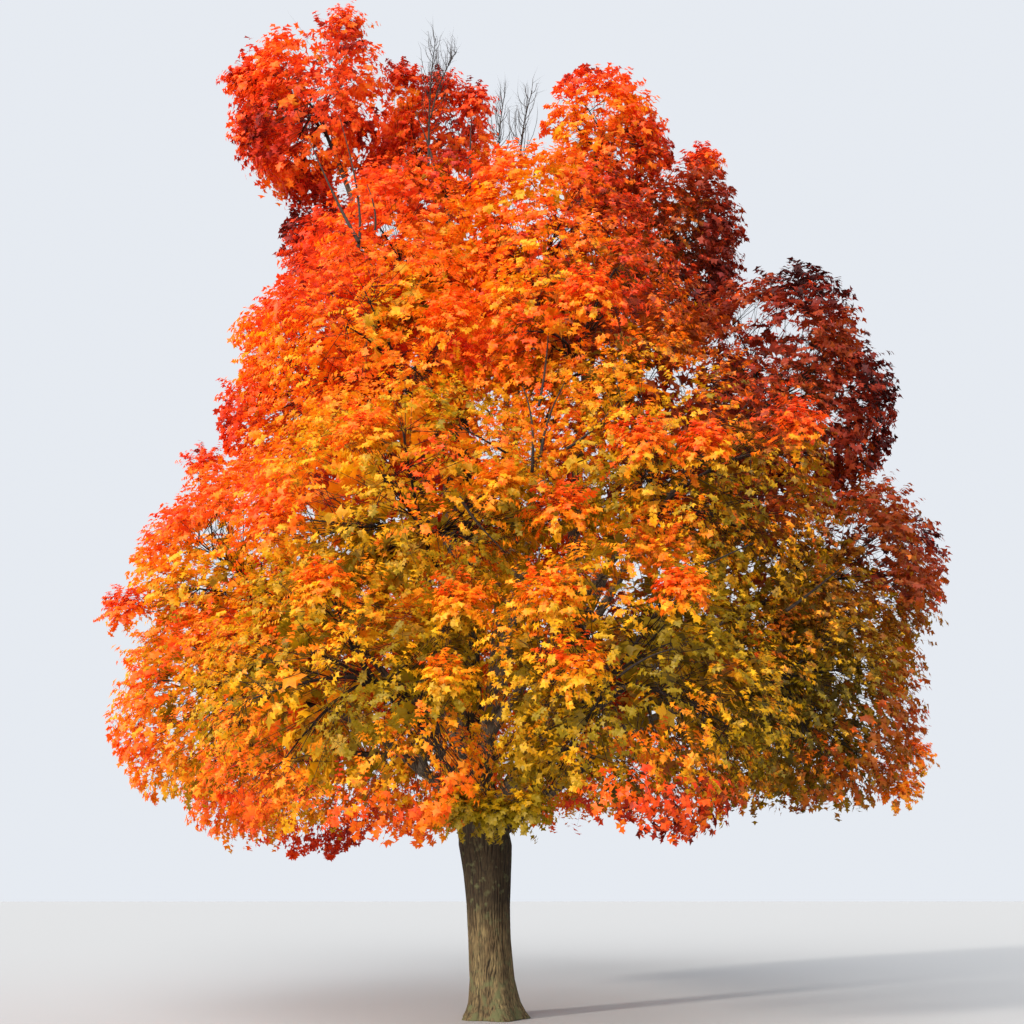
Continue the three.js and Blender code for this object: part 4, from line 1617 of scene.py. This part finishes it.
# %% Slender limbs
SLENDER = [
    ((-1.9, -3.7, 9.9), (-2.55, -2.4, 11.7), (-3.2, -1.5, 13.5), 0.028),
    ((-1.9, -3.7, 9.8), (-2.15, -2.6, 11.6), (-2.7, -1.6, 13.9), 0.025),
    ((-1.8, -3.0, 10.5), (-1.8, -3.0, 10.9), (-2.0, -2.6, 11.7), 0.022),
    ((-1.1, -1.2, 13.0), (-1.2, -1.0, 13.7), (-1.5, -0.8, 14.7), 0.03),
    ((-0.5, -1.0, 12.9), (-0.5, -0.9, 13.7), (-0.5, -0.7, 14.7), 0.026),
    ((0.4, -4.7, 6.1), (0.4, -4.75, 6.7), (0.3, -4.6, 7.25), 0.022),
    ((0.5, -4.7, 6.3), (0.6, -4.65, 6.8), (0.8, -4.6, 7.3), 0.022),
    ((0.8, -4.7, 6.4), (1.1, -4.8, 6.6), (1.4, -4.8, 6.95), 0.018),
    ((0.1, -4.8, 6.3), (-0.2, -5.0, 6.4), (-0.45, -5.1, 6.5), 0.014),
    ((0.5, -4.4, 7.1), (0.6, -4.1, 7.8), (0.65, -4.0, 8.4), 0.018),
    ((-0.4, -5.2, 5.6), (-0.2, -5.2, 5.3), (0.1, -5.1, 5.0), 0.018),
    ((2.1, -5.1, 4.8), (2.4, -4.9, 5.0), (2.9, -4.6, 5.3), 0.018),
    ((1.2, -5.4, 3.6), (1.5, -5.4, 3.8), (1.8, -5.4, 3.9), 0.016),
    ((3.4, -3.9, 4.7), (3.8, -3.7, 5.0), (4.3, -3.4, 5.4), 0.022),
]
BARE_TOPS = [
    ((-1.2, -1.1, 13.2), (-1.25, -0.7, 15.2), (-1.2, -0.5, 16.7), 0.022),
    ((-1.2, -1.0, 14.4), (-1.05, -0.8, 15.4), (-0.8, -0.5, 16.4), 0.016),
    ((0.4, -1.2, 12.8), (0.4, -0.9, 14.0), (0.6, -0.8, 15.2), 0.024),
    ((0.0, -1.0, 13.1), (0.0, -0.8, 14.1), (0.1, -0.7, 15.2), 0.02),
]
SLENDER_TIP = 0.006
SLENDER_RINGS, SLENDER_SIDES = 12, 6


def slender_line(root, bend, tip):
    share = np.linspace(0, 1, SLENDER_RINGS)[:, None]
    root, bend, tip = np.array(root), np.array(bend), np.array(tip)
    pull = 2 * bend - (root + tip) / 2
    return root * (1 - share) ** 2 + 2 * pull * share * (1 - share) + tip * share**2


print("slender limbs:", len(SLENDER), "in leaf and", len(BARE_TOPS), "bare")

# %% [markdown]
# A bare top isn't one stick. Twigs stand all round it, rise steeply, get shorter towards its tip, and carry
# finer twigs themselves. The twigs are bent tubes, and the finest are spikes like those in the tufts.

# %% Bare twigs
BARE_TWIGS = 30
BARE_PART = (0.2, 0.97)
BARE_LENGTH, BARE_SHORTENING = 0.85, 1.2
BARE_LENGTHS = (0.6, 1.2)
BARE_RADII = (0.006, 0.003)
BARE_RINGS, BARE_SIDES = 5, 4
BARE_SPREAD = (0.2, 0.75)
BARE_RISE, BARE_LEAN = 0.4, 0.5
BARE_SPIKES, BARE_SPIKE = 4, (0.12, 0.3)
SPIKE_STRAY, SPIKE_RADIUS = 0.4, 0.0025
BARE_SEED = 31


def bare_twigs(line, random):
    """Fine twigs all round a bare top, shorter towards its tip."""
    at = np.linspace(*BARE_PART, BARE_TWIGS) * (len(line) - 1)
    spot = at.astype(int)
    roots = line[spot] + (line[spot + 1] - line[spot]) * (at - spot)[:, None]
    turn = random.uniform(0, math.tau, BARE_TWIGS)
    side = np.stack([np.cos(turn), np.sin(turn), 0 * turn], axis=1)
    ways = unit(UP + side * random.uniform(*BARE_SPREAD, (BARE_TWIGS, 1)))
    reach = BARE_LENGTH * (BARE_SHORTENING - at / len(line))[:, None]
    ends = roots + unit(ways + UP * BARE_RISE) * (reach * random.uniform(*BARE_LENGTHS, (BARE_TWIGS, 1)))
    return bent_lines(roots, unit(ways + side * BARE_LEAN), ends, BARE_RINGS)


def bare_spikes(twigs, random):
    """The finest twigs, a few on each bare twig."""
    roots = twigs[:, 1:1 + BARE_SPIKES].reshape(-1, 3)
    ahead = np.repeat(unit(twigs[:, -1] - twigs[:, 0]), BARE_SPIKES, axis=0)
    ways = unit(ahead + random.normal(0, SPIKE_STRAY, roots.shape))
    return spikes_mesh(roots, ways, random.uniform(*BARE_SPIKE, len(roots)), SPIKE_RADIUS)


def make_slender_limbs():
    random = np.random.default_rng(BARE_SEED)
    woods = []
    for root, bend, tip, radius in SLENDER + BARE_TOPS:
        line = slender_line(root, bend, tip)
        woods.append(tubes_mesh(line[None], tapered(1, (radius, SLENDER_TIP), len(line)), SLENDER_SIDES))
    for root, bend, tip, _ in BARE_TOPS:
        twigs = bare_twigs(slender_line(root, bend, tip), random)
        woods.append(tubes_mesh(twigs, tapered(len(twigs), BARE_RADII, BARE_RINGS), BARE_SIDES))
        woods.append(bare_spikes(twigs, random))
    points, triangles = joined(woods)
    piece = new_piece("slender_limbs", points, triangles, [twig_bark])
    set_relief(piece, np.ones(len(points)))
    print("slender limbs:", len(triangles), "triangles")


make_slender_limbs()

# %% [markdown]
# A plain pale floor, as in a studio. It is so wide that its edge lies at the horizon, and it is declared as
# stage, so that nobody takes it for a part of the tree.

# %% Floor
FLOOR_SIZE = 400
FLOOR_GREY = (0.4, 0.4, 0.4, 1)
FLOOR_ROUGHNESS = 0.9
FLOOR_GAP = 0.002


def make_floor():
    half = FLOOR_SIZE / 2
    mesh = bpy.data.meshes.new("floor")
    corners = [(-half, -half, 0), (half, -half, 0), (half, half, 0), (-half, half, 0)]
    mesh.from_pydata(corners, [], [(0, 1, 2, 3)])
    floor = bpy.data.objects.new("floor", mesh)
    bpy.context.collection.objects.link(floor)
    material = bpy.data.materials.new("pale_floor")
    material.use_nodes = True
    shader = material.node_tree.nodes["Principled BSDF"]
    shader.inputs["Base Color"].default_value = FLOOR_GREY
    shader.inputs["Roughness"].default_value = FLOOR_ROUGHNESS
    floor.data.materials.append(material)
    floor.location.z = -FLOOR_GAP
    floor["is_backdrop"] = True


make_floor()
print("floor:", FLOOR_SIZE, "m wide")

# %% [markdown]
# The light is soft too. The key light is a sun low on the left and to the front, so the left of the crown is
# bright and the right falls into shade. The fill is a second sun above and behind the viewer. It is a little
# stronger, but so wide that its shadows are soft and it lifts the dark places, and the sky fills the rest.

# %% Light and sky
SUN_FROM = Vector((-0.76, -0.6, 0.26))
SUN_STRENGTH = 4.1
SUN_ANGLE = 5
SUN_COLOUR = (1.0, 0.94, 0.84)
FILL_FROM = Vector((-0.2, -1.0, 0.5))
FILL_STRENGTH = 4.8
FILL_ANGLE = 60
SKY = (0.86, 0.90, 0.96, 1.0)
SKY_STRENGTH = 0.92


def make_sun(name, ahead, strength, angle, colour=(1, 1, 1)):
    lamp = bpy.data.lights.new(name, "SUN")
    lamp.energy = strength
    lamp.angle = math.radians(angle)
    lamp.color = colour
    sun = bpy.data.objects.new(name, lamp)
    sun.rotation_euler = ahead.to_track_quat("Z", "Y").to_euler()
    bpy.context.collection.objects.link(sun)


def make_sky():
    world = bpy.data.worlds.new("sky")
    world.use_nodes = True
    background = world.node_tree.nodes["Background"]
    background.inputs["Color"].default_value = SKY
    background.inputs["Strength"].default_value = SKY_STRENGTH
    bpy.context.scene.world = world


make_sun("key_light", SUN_FROM, SUN_STRENGTH, SUN_ANGLE, SUN_COLOUR)
make_sun("fill_light", FILL_FROM, FILL_STRENGTH, FILL_ANGLE)
make_sky()
bpy.context.scene.view_settings.view_transform = "Standard"
print("key light", SUN_STRENGTH, "fill", FILL_STRENGTH, "sky", SKY_STRENGTH)

# %% [markdown]
# Last, the sizes. The dressed tree has to fill the solid model's box and no more, so both boxes are printed
# side by side.

# %% Print the sizes and finish
visual_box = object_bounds()
boxes = {"cad": cad_box, "visual": visual_box}
for label, box in boxes.items():
    print(label, [round(value, 2) for corner in box for value in corner])
